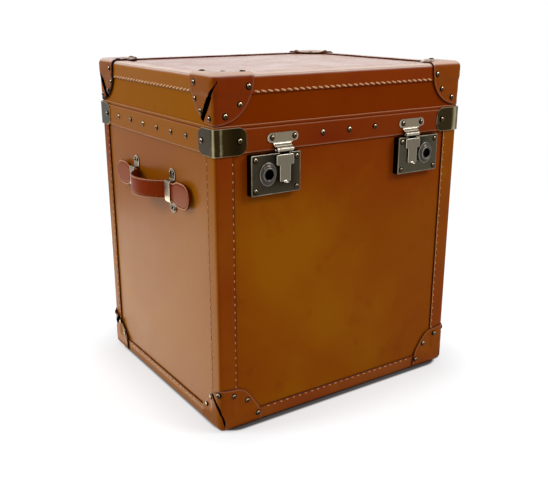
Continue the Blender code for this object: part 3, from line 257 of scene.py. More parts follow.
PANEL_LOW, PANEL_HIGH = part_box("lid_side_leather")
HALF_X, HALF_Y = [(PANEL_HIGH[axis] - PANEL_LOW[axis]) / 2 for axis in (0, 1)]
MIDDLE_Y = (PANEL_HIGH[1] + PANEL_LOW[1]) / 2
FACE_Y = MIDDLE_Y + HALF_Y
ARRIS = 0.003
CORNERS = {"front_left": (-1, -1), "front_right": (1, -1), "back_left": (-1, 1), "back_right": (1, 1)}
STRIP_THICKNESS = 0.0020
GLUE = 0.0003


def patch(points, wrap_rows=False, wrap_columns=False, edge=0.0):
    """A grid of points, rows by columns, as quads between its neighbours, closed round if wrapped."""
    points = np.asarray(points, float)
    rows, columns = points.shape[:2]
    index = np.arange(rows * columns).reshape(rows, columns)
    if wrap_rows:
        index = np.vstack([index, index[:1]])
    if wrap_columns:
        index = np.hstack([index, index[:, :1]])
    quads = np.stack([index[:-1, :-1], index[:-1, 1:], index[1:, 1:], index[1:, :-1]], -1).reshape(-1, 4)
    marks = np.broadcast_to(np.asarray(edge, float), (rows, columns)).ravel()
    return points.reshape(-1, 3), quads.tolist(), marks


def tube(points, edge=0.0):
    """A grid whose rows are rings: wrapped round and closed flat at both ends."""
    rows, columns = points.shape[:2]
    spots, faces, marks = patch(points, wrap_columns=True, edge=edge)
    last = (rows - 1) * columns
    return spots, faces + [list(range(columns)), list(range(last, last + columns))], marks


def mirrored(parts, side_x, side_y=1):
    """The same patches on another corner or side, about the trunk's middle."""
    centre, sides = np.array([0, MIDDLE_Y, 0]), np.array([side_x, side_y, 1])
    return [(centre + (spots - centre) * sides, faces, marks) for spots, faces, marks in parts]


def fashion(name, parts, material, body, replaces=(), crease=40):
    """Joins patches into one piece, welds their shared rims and turns all faces outwards."""
    starts = np.cumsum([0] + [len(part[0]) for part in parts])
    spots = np.vstack([part[0] for part in parts])
    faces = [[start + i for i in face] for part, start in zip(parts, starts) for face in part[1]]
    mesh = bpy.data.meshes.new(name)
    mesh.from_pydata(spots.tolist(), [], faces)
    layer = mesh.attributes.new("edge", "FLOAT", "POINT")
    layer.data.foreach_set("value", np.concatenate([part[2] for part in parts]))
    solid = bmesh.new()
    solid.from_mesh(mesh)
    bmesh.ops.remove_doubles(solid, verts=solid.verts, dist=1e-6)
    bmesh.ops.recalc_face_normals(solid, faces=solid.faces)
    solid.to_mesh(mesh)
    solid.free()
    mesh.shade_smooth()
    mesh.set_sharp_from_angle(angle=math.radians(crease))
    mesh.materials.append(material)
    item = bpy.data.objects.new(name, mesh)
    bpy.context.scene.collection.objects.link(item)
    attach(item, body)
    if replaces:
        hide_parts(*replaces)


def arc(start, end, steps, centre=(0, 0), radius=1.0):
    """Places on a circle in a plane, from one angle in degrees to another."""
    angles = np.radians(np.linspace(start, end, steps))
    return np.array(centre) + radius * np.stack([np.cos(angles), np.sin(angles)], 1)


def corner_walk(from_side, from_front, turns=8):
    """Places in plan round the right back corner: lists of distances from the arris along the side
    and the front, joined by the rounded arris, with the direction that faces out at each."""
    ways = arc(0, 90, turns + 1)
    side = [(HALF_X, FACE_Y - d) for d in from_side]
    front = [(HALF_X - d, FACE_Y) for d in from_front]
    places = np.vstack([side, np.array([HALF_X - ARRIS, FACE_Y - ARRIS]) + ARRIS * ways, front])
    return places, np.vstack([[(1, 0)] * len(side), ways, [(0, 1)] * len(front)])


def soft_rim(distance, radius=0.0009):
    """The height lost to a rounded edge, at a distance from it."""
    share = np.clip(1 - distance / radius, 0, 1)
    return radius * (1 - np.sqrt(1 - share**2 * 0.98))


def bell(distance, middle, half):
    """A smooth bump: 1 at its middle, and nearly nothing two halves away."""
    return np.exp(-(((distance - middle) / half) ** 2))


CREASE_IN = 0.0032
CREASE_HALF = 0.0006
CREASE_DEPTH = 0.0005


def creased(distance):
    """Height of trim leather at a distance from its free edge: a rounded rim and a creased line."""
    return STRIP_THICKNESS - soft_rim(distance) - CREASE_DEPTH * bell(distance, CREASE_IN, CREASE_HALF)


def trim_marks(distance):
    """Dark on the cut edge, partly edge dye and partly painted shadow, dark along the crease as painted
    shade, and pale on the rim between them as a painted highlight.
    """
    dark = 1.4 * np.exp(-distance / 0.0011) + 0.4 * bell(distance, CREASE_IN, CREASE_HALF)
    return dark - 0.3 * bell(distance, 0.0022, 0.0005)


def sway(along, seed, amount):
    """A hand-cut edge: three slow waves of unlike length."""
    waves = np.sin(along * 61 + seed) + 0.6 * np.sin(along * 143 + 2 * seed)
    return amount * (waves + 0.4 * np.sin(along * 310 + seed * 5)) / 2


SIDE_REACH, FRONT_REACH = 0.0232, 0.0282
RIM_STEPS = mm(0, 0.12, 0.3, 0.6, 1.0, 1.6, 2.2, 2.6, 2.9, 3.2, 3.5, 3.8, 4.4, 6.5)


def strip_rings(low, high, seed, strip_rim_highlight):
    """The strip's plan section, repeated up its height with its free edges swaying."""
    side, front = [np.append(reach - RIM_STEPS, 0.009) for reach in (SIDE_REACH, FRONT_REACH)]
    front, count = front[::-1], len(side)
    places, facing = corner_walk(side, front)
    turn = len(places) - 2 * count
    distance = np.concatenate([SIDE_REACH - side, np.full(turn, 0.02), FRONT_REACH - front])
    outer = places + facing * (GLUE + creased(distance))[:, None]
    under = [0, count, count + 2, count + 4, count + 6, -count - 1, -1]
    ring = np.vstack([outer, (places[under] + facing[under] * GLUE / 2)[::-1]])
    pull = np.concatenate([np.clip(1 - distance / 0.012, 0, 1), [1, 0, 0, 0, 0, 0, 1]])
    along = np.zeros((len(ring), 2))
    along[:count, 1] = 1
    along[count + turn : len(outer) + 1, 0] = 1
    along[-1, 1] = 1
    levels = np.linspace(low, high, 40)
    rings = np.empty((len(levels), len(ring), 3))
    rings[..., :2] = ring + sway(levels, seed, 0.0003)[:, None, None] * (along * pull[:, None])
    rings[..., 2] = levels[:, None]
    mark = trim_marks(distance) - strip_rim_highlight * bell(distance, 0.0021, 0.0009)
    return tube(rings, np.append(mark, np.ones(len(under))))


def places_at(x, y, z):
    """Places from their x, y and height, each one number or a row of them."""
    return np.stack(np.broadcast_arrays(x, y, z), -1).astype(float)


def copies(shape, centres, along, facing, marks=0.0):
    """One small shape repeated: its grid's first coordinate runs along, its last one faces out."""
    along, facing = (np.broadcast_to(np.asarray(way, float), centres.shape) for way in (along, facing))
    flat = shape.reshape(-1, 3)
    spots = centres[:, None] + flat @ np.stack([along, np.cross(facing, along), facing], 1)
    _, quads, one = patch(shape, wrap_columns=True, edge=marks)
    faces = np.array(quads) + np.arange(len(centres))[:, None, None] * len(flat)
    return spots.reshape(-1, 3), faces.reshape(-1, 4).tolist(), np.tile(one, len(centres))


def stitch_shape(length, width, rise):
    """A grain of thread: a ring swelling along it, arched so that both ends dive into the leather."""
    t = np.linspace(0, 1, 7)[:, None]
    turn = np.linspace(0, 2 * np.pi, 8, endpoint=False)[None]
    swell = np.sqrt(np.clip(1 - (2 * t - 1) ** 2, 0, 1)) ** 0.6 * width / 2
    sunk = (2 * t - 1) ** 4 * width * 0.7
    return places_at((t - 0.5) * length, swell * np.cos(turn), swell * np.sin(turn) - sunk + rise)


def linen_thread(name, colour, shade):
    """Waxed linen: a pale twisted thread, dirty in its hollows."""
    finish = Finish(name, IOR=1.45, Sheen_Weight=0.1)
    twist = finish.noise(finish.place(), 900, 3, 0.6)
    mixed = finish.coats(shade, (colour, twist, 0.35, 0.65))
    return finish.done(Base_Color=mixed, Roughness=0.55, Normal=finish.relief(twist, 0.0001))


PALE_THREAD = linen_thread("pale_thread", tone(222, 168, 120), tone(162, 100, 58))
STITCH_PITCH = 0.0121
STRIP_LOW, STRIP_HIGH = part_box("corner_strip_back_right")
STRIP_HIGHLIGHT = (tone(220, 166, 124), 0.7)
STRIP_OUT = GLUE + STRIP_THICKNESS - CREASE_DEPTH
stitch_levels = np.arange(0.058, STRIP_HIGH[2] - 0.004, STITCH_PITCH)
strip_stitches = [
    copies(stitch_shape(0.0040, 0.0017, 0.0007), places_at(x, y, stitch_levels), (0, 0, 1), facing)
    for x, y, facing in (
        (HALF_X + STRIP_OUT, FACE_Y - SIDE_REACH + CREASE_IN, (1, 0, 0)),
        (HALF_X - FRONT_REACH + CREASE_IN, FACE_Y + STRIP_OUT, (0, 1, 0)),
    )
]
for number, (corner, sides) in enumerate(CORNERS.items()):
    name = "corner_strip_" + corner
    # The right front strip gets a stronger painted highlight on its rim; the others deepen towards the band
    # as painted shade.
    strip_rim_highlight = 1.1 if corner == "front_right" else 0.0
    painted_shade_above = None if strip_rim_highlight else SEAM_LEVEL - 0.02
    painted_left_light = 0.1 if corner == "back_left" else 0.7
    leather = waxed_leather(name, 0.6 + number, painted_shade_above=painted_shade_above, painted_left_light=painted_left_light, pale=STRIP_HIGHLIGHT)
    strip = strip_rings(STRIP_LOW[2], STRIP_HIGH[2], number * 1.7, strip_rim_highlight)
    fashion("sewn_" + name, mirrored([strip], *sides), leather, "trunk", [name])
    stitches = mirrored(strip_stitches, *sides)
    fashion("strip_stitches_" + corner, stitches, PALE_THREAD, "trunk")


# Bindings: a strip of bridle leather folded over the bottom edges of the body, and another over
# the top edges of the lid. The lid's is sewn with one thick slanting row along its lower edge.


def round_walk(turns=8, step=0.012):
    """Places in plan once round the trunk, with the direction that faces out at each."""
    places, facing = [], []
    for quarter, (side_x, side_y) in enumerate(((1, 1), (-1, 1), (-1, -1), (1, -1))):
        centre = np.array([side_x * (HALF_X - ARRIS), MIDDLE_Y + side_y * (HALF_Y - ARRIS)])
        ways = arc(quarter * 90, quarter * 90 + 90, turns + 1)
        run = 2 * ((HALF_X, HALF_Y)[quarter % 2] - ARRIS)
        shares = np.linspace(0, 1, max(int(run / step), 2))[1:-1]
        way = np.array([(-1, 0), (0, -1), (1, 0), (0, 1)][quarter])
        corner = centre + ARRIS * ways
        places += [corner, corner[-1] + way * run * shares[:, None]]
        facing += [ways, np.broadcast_to(ways[-1], (len(shares), 2))]
    return np.vstack(places), np.vstack(facing)


def round_trunk(section, marks, wander, seed):
    """Carries a closed section of (out, height) pairs round the trunk. Its edges wander in height."""
    section = np.array(section, float)
    places, facing = round_walk()
    points = np.empty((len(places), len(section), 3))
    points[..., :2] = places[:, None] + facing[:, None] * section[:, :1]
    points[..., 2] = section[:, 1] + sway(places[:, 0] * 1.3 + places[:, 1], seed, wander)[:, None]
    return patch(points, True, True, marks)


def side_runs(out, height, margin, pitch):
    """Evenly spaced places along all four sides, away from the corners, as centres, ways and facings."""
    rows = []
    for axis, half in ((0, HALF_X), (1, HALF_Y)):
        places = np.arange(-half + margin, half - margin, pitch)
        places = places - (places[0] + places[-1]) / 2
        for side in (-1, 1):
            centres = np.full((len(places), 3), height)
            centres[:, axis] = places + (MIDDLE_Y if axis else 0)
            centres[:, 1 - axis] = side * ((HALF_Y, HALF_X)[axis] + out) + (0 if axis else MIDDLE_Y)
            rows.append((centres, np.eye(3)[axis], np.eye(3)[1 - axis] * side))
    return rows


TRIM_BOTTOM, TRIM_TOP = [corner[2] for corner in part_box("base_binding")]
FOLD, UNDER = 0.003, 0.020
OUTER = GLUE + STRIP_THICKNESS
base_section = [
    *[(GLUE + creased(d), TRIM_TOP - d) for d in RIM_STEPS],
    *arc(0, -90, 7, (OUTER - FOLD, TRIM_BOTTOM + FOLD), FOLD),
    (OUTER - UNDER, TRIM_BOTTOM), (OUTER - UNDER, TRIM_BOTTOM + STRIP_THICKNESS),
    (GLUE, TRIM_BOTTOM + STRIP_THICKNESS), (GLUE / 2, TRIM_TOP - 0.0001),
]
base_marks = np.zeros(len(base_section))
base_marks[: len(RIM_STEPS)] = trim_marks(RIM_STEPS)
trim = waxed_leather("base_binding", 4.4, ior=1.19, painted_left_light=0.8)
bound = [round_trunk(base_section, base_marks, 0.0002, 2.0)]
fashion("sewn_base_binding", bound, trim, "trunk", ["base_binding"])
rows = side_runs(OUTER - CREASE_DEPTH, TRIM_TOP - CREASE_IN, 0.078, STITCH_PITCH)
base_stitches = [copies(stitch_shape(0.0055, 0.0017, 0.0007), *row) for row in rows]
fashion("base_stitches", base_stitches, PALE_THREAD, "trunk")

LID_FOOT, LID_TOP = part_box("lid_binding")[0][2] - 0.0018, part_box("lid_binding")[1][2]
LID_FOLD, OVER = 0.0075, 0.022
FOOT_STEPS = mm(0.0, 0.15, 0.4, 0.8, 1.4, 2.2)
lid_section = [
    *[(OUTER - soft_rim(d), LID_FOOT + d) for d in FOOT_STEPS],
    *arc(0, 90, 9, (OUTER - LID_FOLD, LID_TOP - LID_FOLD), LID_FOLD),
    *[(-OVER + d, LID_TOP - soft_rim(d, 0.0012)) for d in mm(4.0, 1.2, 0.7, 0.3, 0.0)],
    (-OVER, LID_TOP - STRIP_THICKNESS), (GLUE / 2, LID_TOP - STRIP_THICKNESS), (GLUE / 2, LID_FOOT),
]
# Dark at the foot, partly burnished and partly painted shadow; pale over the rounded top fold as a painted
# highlight; dark again at the inner edge on the top.
lid_light_and_shade = [1.2, 1.0, 0.5, 0.1, 0, 0, 0, -0.1, -0.3, -0.7, -1, -1, -1, -0.8, -0.6]
lid_light_and_shade += [-0.5, 0.3, 0.6, 0.8, 1, 1, 1, 1]
LID_TRIM = (HIDE[0], tone(130, 54, 1), tone(142, 72, 6))
FOLD_HIGHLIGHT = (tone(240, 214, 198), 0.85)
trim = waxed_leather("lid_binding", 7.7, LID_TRIM, painted_left_light=0.8, pale=FOLD_HIGHLIGHT)
bound = [round_trunk(lid_section, lid_light_and_shade, 0.00015, 5.0)]
fashion("sewn_lid_binding", bound, trim, "lid", ["lid_binding"])

whip = []
for centres, way, facing in side_runs(OUTER, LID_FOOT + 0.0030, 0.062, 0.0108):
    lean = way * 0.95 - np.array([0, 0, 0.3])
    whip.append(copies(stitch_shape(0.0102, 0.0026, 0.0007), centres, lean / np.linalg.norm(lean), facing))
whip_thread = linen_thread("whip_thread", tone(236, 186, 134), tone(178, 116, 68))
fashion("lid_stitches", whip, whip_thread, "lid")


# Corner caps: one piece of thick harness leather each, wetted and moulded over the corner, slit
# at the side so that it can fold round, its edge bevelled and burnished, and nailed down. The rims
# carry painted shadow and a line of painted highlight, the rounded tops a painted highlight, and a
# black sheet under each slit paints the shadow inside it.

CAP_THICKNESS = 0.0027
CAP_OUT = 0.0051
CAP_FALL, FALL_FROM, FALL_TO = 0.0017, 0.0245, 0.034
CAP_RIM, CAP_WAVE = 0.0016, 0.00016
NAIL_DENT, DENT_HALF = 0.0004, 0.0055
SLIT_RIM = mm(0.0, 0.4, 1.0, 1.8)
RIM_ROWS = mm(0, 0.25, 0.6, 1.1, 1.8, 2.8, 4.0, 5.5, 7.0, 9.0, 11.5)
IN_ROWS, ROUND_STEPS = 24, 47
# Rim marks by distance in millimetres from the cap's edge: a dark wall, partly edge dye and partly painted
# shadow, then a pale line of painted highlight. The back left caps get a wide painted shadow along the rim
# instead.
RIM_DYE_SHADE_AND_HIGHLIGHT = ([0, 0.5, 1.1, 2.0, 3.2, 4.4], [1.2, 0.9, -0.18, -0.26, -0.12, 0])
RIM_SHADOW = ([0, 2.6, 4.2, 6.0], [1.9, 1.6, 0.9, 0])


def ease(value, low, high):
    """A smooth step from 0 at low to 1 at high."""
    share = np.clip((value - low) / (high - low), 0, 1)
    return share * share * (3 - 2 * share)


def unit(ways):
    """Directions at a length of one."""
    return ways / np.linalg.norm(ways, axis=-1, keepdims=True)


def oval_reach(leg, rise, fullness=2.35):
    """How far a flap reaches in a direction: a full oval."""
    return lambda along, away: ((along / leg) ** fullness + (away / rise) ** fullness) ** (-1 / fullness)


def shouldered_reach(leg, rise, foot, shoulder):
    """How far a flap reaches in a direction: the smooth minimum of its end, its slant and its crest."""
    foot_rise = rise * foot
    near, high = leg * shoulder[0], rise * shoulder[1]
    slant = leg * (high - foot_rise) + foot_rise * (leg - near)

    def reach(along, away):
        end = along / leg
        crest = (along * (rise - high) + away * near) / (rise * near)
        slope = (along * (high - foot_rise) + away * (leg - near)) / slant
        return (np.maximum(np.stack([end, crest, slope]), 1e-9) ** 18).sum(0) ** (-1 / 18)

    return reach


def face_at(turn):
    """The face that a direction round the corner lies on, and its cosine and sine there. It turns
    from the upright arris over the front, the level and the side face, 90 degrees each."""
    turn = np.mod(turn, 270)
    face = np.clip((turn // 90).astype(int), 0, 2)
    angle = np.radians(turn - face * 90)
    return face, np.cos(angle), np.sin(angle)


def lay_flat(turn, far):
    """A place on the corner's three faces, as distances from the sharp corner along x, y and up."""
    face, cos, sin = face_at(turn)
    first, second, none = far * cos, far * sin, np.zeros(turn.shape)
    choices = ([second, first, none], [none, second, first], [first, none, second])
    return np.stack([np.choose(face, choice) for choice in choices], -1)


def bend_over(corner, up, bulge, flat, sunk):
    """Pulls flat places onto a box whose edges are rounded to bulge, sunk below its surface."""
    near = np.maximum(flat, bulge)
    way = unit(flat - near)
    signs = np.array([-1, -1, up])
    return corner + (near + way * np.asarray(bulge - sunk)[..., None]) * signs, way * signs


def moulded_cap(corner, up, bulge, reaches, cover, slit, nails, rim_look):
    """The cap of the right back corner, a black sheet under its slit that paints the shadow there, and its
    nails' places and facings.

    A grid of distances from the corner and directions round it is laid flat on the three faces
    that meet there, then bent over a rounded box and sunk a little beyond what it covers. The
    outer and the inner skin meet along the rim and along the slit.
    """
    slit_far, slit_turn, slit_half = slit
    front_reach, level_reach, side_reach = reaches

    def reach_at(turn):
        face, cos, sin = face_at(turn)
        return np.choose(face, [front_reach(sin, cos), level_reach(cos, sin), side_reach(cos, sin)])

    def sunken(flat):
        return CAP_FALL * ease(cover(*np.moveaxis(flat, -1, 0)), FALL_FROM, FALL_TO)

    u = np.linspace(0, 1, ROUND_STEPS)
    slowed = u - 0.12 * np.sin(2 * np.pi * u)
    base = 90 * np.concatenate([slowed, 1 + slowed[1:], 2 + slowed[1:]])
    shares = np.concatenate([np.ones(len(RIM_ROWS)), 1 - np.linspace(0, 1, IN_ROWS + 1)[1:]])
    insets = np.concatenate([RIM_ROWS, np.full(IN_ROWS, RIM_ROWS[-1])])
    slit_reach = shares * 0.06
    for _ in range(6):
        turn_mid = -np.interp(slit_reach, slit_far, slit_turn)
        slit_reach = (reach_at(turn_mid) - insets) * shares
    half = np.interp(slit_reach, slit_far, slit_half)
    is_open = half > 0
    per_metre = np.degrees(1 / np.maximum(slit_reach, 0.004))
    rim = SLIT_RIM * per_metre[:, None] * is_open[:, None]
    start = (turn_mid + half * per_metre)[:, None] + rim
    end = 270 + (turn_mid - half * per_metre)[:, None] - rim[:, ::-1]
    middle = base + start[:, -1:] * (1 - ease(base, 0, 75)) + (end[:, :1] - 270) * ease(base, 195, 270)
    turn = np.hstack([start, middle[:, 1:-1], end])
    reach = reach_at(turn)
    far = (reach - insets[:, None]) * shares[:, None]
    from_slit = np.full(turn.shape, 1.0)
    from_slit[is_open, : len(SLIT_RIM)] = SLIT_RIM
    from_slit[is_open, -len(SLIT_RIM) :] = SLIT_RIM[::-1]
    nearest = np.minimum(reach - far, from_slit)
    flat = lay_flat(turn, far)
    wave = np.sin(flat * (190, 170, 180) + (1, 2, 3)).prod(-1) + np.sin(flat.sum(-1) * 120)
    sunk = sunken(flat) + soft_rim(nearest, CAP_RIM) + CAP_WAVE * wave * ease(nearest, 0, 0.01)
    for nail in nails:
        sunk = sunk + NAIL_DENT * bell(np.linalg.norm(flat - nail, axis=-1), 0, DENT_HALF)
    outer, facing = bend_over(corner, up, bulge, flat, np.maximum(sunk, 0))
    under, _ = bend_over(corner, up, bulge, flat, CAP_THICKNESS)
    marks = np.interp(nearest * 1000, *rim_look)
    # Where the cap's rounding faces up it turns pale: a painted highlight.
    top_highlight = ease(facing[..., 2], 0.3, 0.75) * (0.95 - 0.5 * ease(facing[..., 2], 0.95, 1.0))
    marks = marks - top_highlight * (marks < 0.1)
    cut = np.stack([outer[0], under[0]])
    parts = [patch(outer, edge=marks), patch(under, edge=1.0), patch(cut, edge=1.0)]
    slit_rows = int(is_open.sum()) + 1
    # The slit's walls are black: painted shadow.
    for column in (0, -1):
        parts.append(patch(np.stack([outer[:slit_rows, column], under[:slit_rows, column]], 1), edge=2.0))
    # A black sheet under the slit stands for the shadow inside it.
    lap = (half + 0.0022) * per_metre
    tongue_turn = (turn_mid[:, None] + np.linspace(-1, 1, 9) * lap[:, None])[1:slit_rows]
    tongue = lay_flat(tongue_turn, slit_reach[1:slit_rows, None])
    high, low = [bend_over(corner, up, bulge, tongue, depth)[0] for depth in (0.0014, 0.0019)]
    slit_shadow = [tube(np.concatenate([high, low[:, ::-1]], 1), edge=2.0)]
    return parts, slit_shadow, *bend_over(corner, up, bulge, nails, sunken(nails) + 0.0003)


def aged_metal(name, seed, dark, worn_and_lit, rough=(0.24, 0.42), grain=(1, 1, 1), painted_top_light=0.0):
    """Patina in soft clouds over the metal, bright or black as the "edge" mark says: bright for worn
    edges and painted highlights, black for painted shade and dirt in gaps, hollows and on walls.

    Where the metal faces down it is painted darker by this much, and lighter where it faces up:
    painted light from above.
    """
    finish = Finish(name + "_finish", Metallic=1.0)
    cloud = finish.noise(finish.place((seed, seed, seed)), 38, 5, 0.6, 0.3)
    fine = finish.noise(finish.place((seed, 0, 0), grain), 420, 4, 0.6)
    mark = finish.mark()
    wear_and_sheen = finish.maths("ADD", mark, finish.spread(cloud, 0.45, 0.8, -0.12, 0.25))
    # Painted light from above: lighter where the metal faces up, darker where it faces down.
    wear_and_sheen = finish.maths("ADD", wear_and_sheen, finish.spread(finish.along(2, "Normal"), -0.5, 0.5, -painted_top_light, painted_top_light))
    specks = (tone(18, 14, 10), fine, 0.55, 0.75, 0.0, 0.3)
    # Black where the mark is below zero: painted shade and dirt.
    dirt_and_painted_shade = (tone(9, 6, 5), mark, -0.9, -0.05, 1.0, 0.0)
    colour = finish.coats(dark, (worn_and_lit, wear_and_sheen, 0.1, 0.95), specks, dirt_and_painted_shade)
    gloss = finish.spread(cloud, 0.3, 0.7, *rough)
    return finish.done(Base_Color=colour, Roughness=gloss, Normal=finish.relief(fine, 0.00004))


# Nail heads are painted lighter where they face up and darker where they face down: painted light from
# above.
NAIL_BRASS = aged_metal("nail_brass", 3.1, tone(62, 46, 30), tone(206, 188, 156), (0.12, 0.2), painted_top_light=0.5)
# Rows of a nail head from its collar to its crown, with marks for the painted shadow, highlight and dark
# reflection.
NAIL_WIDE = np.array([0, 1.22, 1.22, 1.0, 0.98, 0.92, 0.79, 0.58, 0.32, 0])[:, None]
NAIL_HIGH = np.array([-0.3, -0.3, 0.10, 0.13, 0.26, 0.5, 0.73, 0.88, 0.97, 1])[:, None]
NAIL_LIGHT_AND_SHADE = np.array([-1, -1, -1, -1, -1, -0.5, 0.2, 0.4, -0.2, -0.9])[:, None]
tilt = np.random.default_rng(11)


def drive_nails(name, places, facings, sides, body, radius=0.0041, height=0.0022):
    """Nail heads as one piece, each a few degrees off square: a collar and a short skirt painted black
    as the shadow round the head, a full shoulder with a painted highlight and a low crown painted
    dark as a reflection. They are mirrored to the corner or side that is given."""
    facings = unit(np.asarray(facings, float) + tilt.normal(0, 0.05, (len(places), 3)))
    turn = np.linspace(0, 2 * np.pi, 14, endpoint=False)
    wide = NAIL_WIDE * radius
    shape = places_at(wide * np.cos(turn), wide * np.sin(turn), NAIL_HIGH * height)
    side = unit(np.cross(facings, [0.31, 0.52, 0.79]))
    heads = copies(shape, np.array(places), side, facings, NAIL_LIGHT_AND_SHADE)
    fashion(name, mirrored([heads], *sides), NAIL_BRASS, body)


LID_LEG, LID_RISE = 0.066, 0.0705
BASE_LEG, BASE_SIDE_LEG, BASE_RISE = 0.074, 0.059, 0.072
LID_SLIT = (
    mm(0, 12.5, 15, 18, 23, 28, 39, 49, 66, 90),
    (-36, -36, -24, -2, 10, 17, 23, 25.5, 27.5, 28.0),
    mm(0, 0, 1.0, 1.8, 2.8, 3.1, 3.2, 3.1, 2.5, 2.2),
)
BASE_SLIT = (
    mm(0, 12, 17.5, 31.5, 44.6, 56, 67.3, 90),
    (-36.0, -36.0, -24.0, 0.0, 12.6, 19.1, 23.0, 24.0),
    mm(0, 0, 1.6, 2.5, 2.9, 3.0, 2.8, 2.5),
)


def lid_cover(a, b, c):
    """Distance past the lid's binding: down the sides, or in from the nearer top edge."""
    return np.maximum(c, np.minimum(a, b))


def base_cover(a, b, c):
    """Distance past the base binding and the corner strip together: the middle one of the three."""
    return np.median([a, b, c], axis=0)


lid_nails = LID_LEG * np.array([
    (0.85, 0, 0.29), (0.65, 0, 0.655), (0.3, 0, 0.87), (0, 0.79, 0.225), (0, 0.8, 0.56), (0, 0.575, 0.79),
    (0, 0.213, 0.92), (0.85, 0.24, 0), (0.6, 0.6, 0), (0.24, 0.85, 0),
])
base_nails = np.array([
    (0.333, 0, 0.8), (0.66, 0, 0.604), (0.908, 0, 0.243), (0, 0.09, 0.88), (0, 0.49, 0.71), (0, 0.75, 0.45),
]) * (BASE_LEG, BASE_SIDE_LEG, BASE_RISE)
lid_reaches = [oval_reach(LID_LEG, height) for height in (LID_RISE, LID_LEG, LID_RISE)]
base_reaches = [
    shouldered_reach(BASE_LEG, BASE_RISE, 0.345, (0.6, 0.92)),
    shouldered_reach(BASE_LEG, BASE_SIDE_LEG, 0.40, (0.6, 0.98)),
    shouldered_reach(BASE_SIDE_LEG, BASE_RISE, 0.39, (0.5, 0.81)),
]
lid_corner, base_corner = places_at(HALF_X + CAP_OUT, FACE_Y + CAP_OUT, (LID_TOP + 0.0028, 0.0))
LID_BULGE, BASE_BULGE = 0.0100, 0.0110
LID_CAP = (lid_corner, -1, LID_BULGE, lid_reaches, lid_cover, LID_SLIT, lid_nails)
BASE_CAP = (base_corner, 1, BASE_BULGE, base_reaches, base_cover, BASE_SLIT, base_nails)
CAP_HIDE = (tone(120, 44, 0), tone(136, 68, 1), tone(152, 92, 8))
RED_CAP_HIDE = (tone(112, 34, 0), tone(122, 48, 0), tone(146, 80, 6))
CAP_HIGHLIGHT = (tone(236, 204, 184), 0.75)
# Black for the sheet under each slit: painted shadow.
SLIT_BLACK = Finish("slit_shade", IOR=1.0, Roughness=1.0, Base_Color=tone(9, 4, 3)).done()

for number, (corner, sides) in enumerate(CORNERS.items()):
    rim_look = RIM_SHADOW if corner == "back_left" else RIM_DYE_SHADE_AND_HIGHLIGHT
    # The base caps' rim tone is greyer: a painted reflection on the rim's top.
    for level, body, shape, hide, burnish_and_painted_light in (
        ("lid", "lid", LID_CAP, CAP_HIDE if sides[0] > 0 else RED_CAP_HIDE, BURNISH_AND_SHADE),
        ("base", "trunk", BASE_CAP, CAP_HIDE, tone(76, 44, 34)),
    ):
        parts, slit_shadow, places, ways = moulded_cap(*shape, rim_look)
        name = f"{level}_cap_{corner}"
        look = {"ior": 1.13, "burnish_and_painted_light": burnish_and_painted_light, "painted_left_light": 0.45, "pale": CAP_HIGHLIGHT}
        leather = waxed_leather(name, 9.0 + number * 1.1 + len(level), hide, **look)
        fashion("moulded_" + name, mirrored(parts, *sides), leather, body, [name])
        fashion("painted_slit_shadow_" + name, mirrored(slit_shadow, *sides), SLIT_BLACK, body)
        drive_nails(f"{level}_cap_nails_{corner}", places, ways, sides, body)


# Lid band: a thick leather strap glued and nailed round the lid's foot, on a thinner one that
# shows above it. Its lower lip overhangs the body and is painted pale as a highlight.

SEAM, BAND_TOP = [corner[2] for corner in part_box("lid_band")]
BAND_OUT = 0.0040
LIP = 0.0014
outer_strap = mm((0.1, 3.5), (0.2, 17), (0, 31.5), (-0.1, 33), (-0.6, 33.8), (-1.4, 34.1), (-2.1, 34.4))
inner_strap = mm((-2.1, -0.9), (-2.4, -0.2), (-2.9, 0))
band_section = [
    (GLUE, SEAM), *arc(-90, 0, 6, (BAND_OUT - LIP, SEAM + LIP), LIP),
    *(outer_strap + (BAND_OUT, SEAM)), *(inner_strap + (BAND_OUT, BAND_TOP)), (GLUE, BAND_TOP),
]
# Dark under the lip and at the step between the straps as painted shade; pale on the lip, on the face's top
# edge and on the thinner strap as painted highlight.
band_light_and_shade = [1, 0.5, -0.2, -0.6, -0.8, -0.8, -0.4, 0, 0, 0, -0.4, -0.5, -0.1, 0.7, -0.4, -1, -0.9, 0.2]
band_leather = waxed_leather("lid_band", 12.2, LID_HIDE, painted_left_light=0.75, pale=(tone(204, 150, 112), 0.6))
bound = [round_trunk(band_section, band_light_and_shade, 0.00018, 3.0)]
fashion("nailed_lid_band", bound, band_leather, "lid", ["lid_band"])

NAIL_LEVEL = SEAM + 0.018
SIDE_PITCH, FACE_PITCH = 0.0484, 0.050
band_nails = [
    ((side * (HALF_X + BAND_OUT), MIDDLE_Y + SIDE_PITCH * share, NAIL_LEVEL), (side, 0, 0))
    for share in (-2.5, -1.5, -0.5, 0.5, 1.5, 2.5) for side in (-1, 1)
]
band_nails += [
    ((FACE_PITCH * share, MIDDLE_Y + side * (HALF_Y + BAND_OUT), NAIL_LEVEL), (0, side, 0))
    for share in (-1, 0, 1) for side in (-1, 1)
]
drive_nails("band_nails", *zip(*band_nails), (1, 1), "lid")


# Band brackets: sheet metal bent round each corner of the band, its four outer corners rounded
# off, bronzed dark, rubbed along its edges, and held by one nail on each leg. It carries painted
# highlights at the bend and on the front leg, and a painted dark reflection further along it.


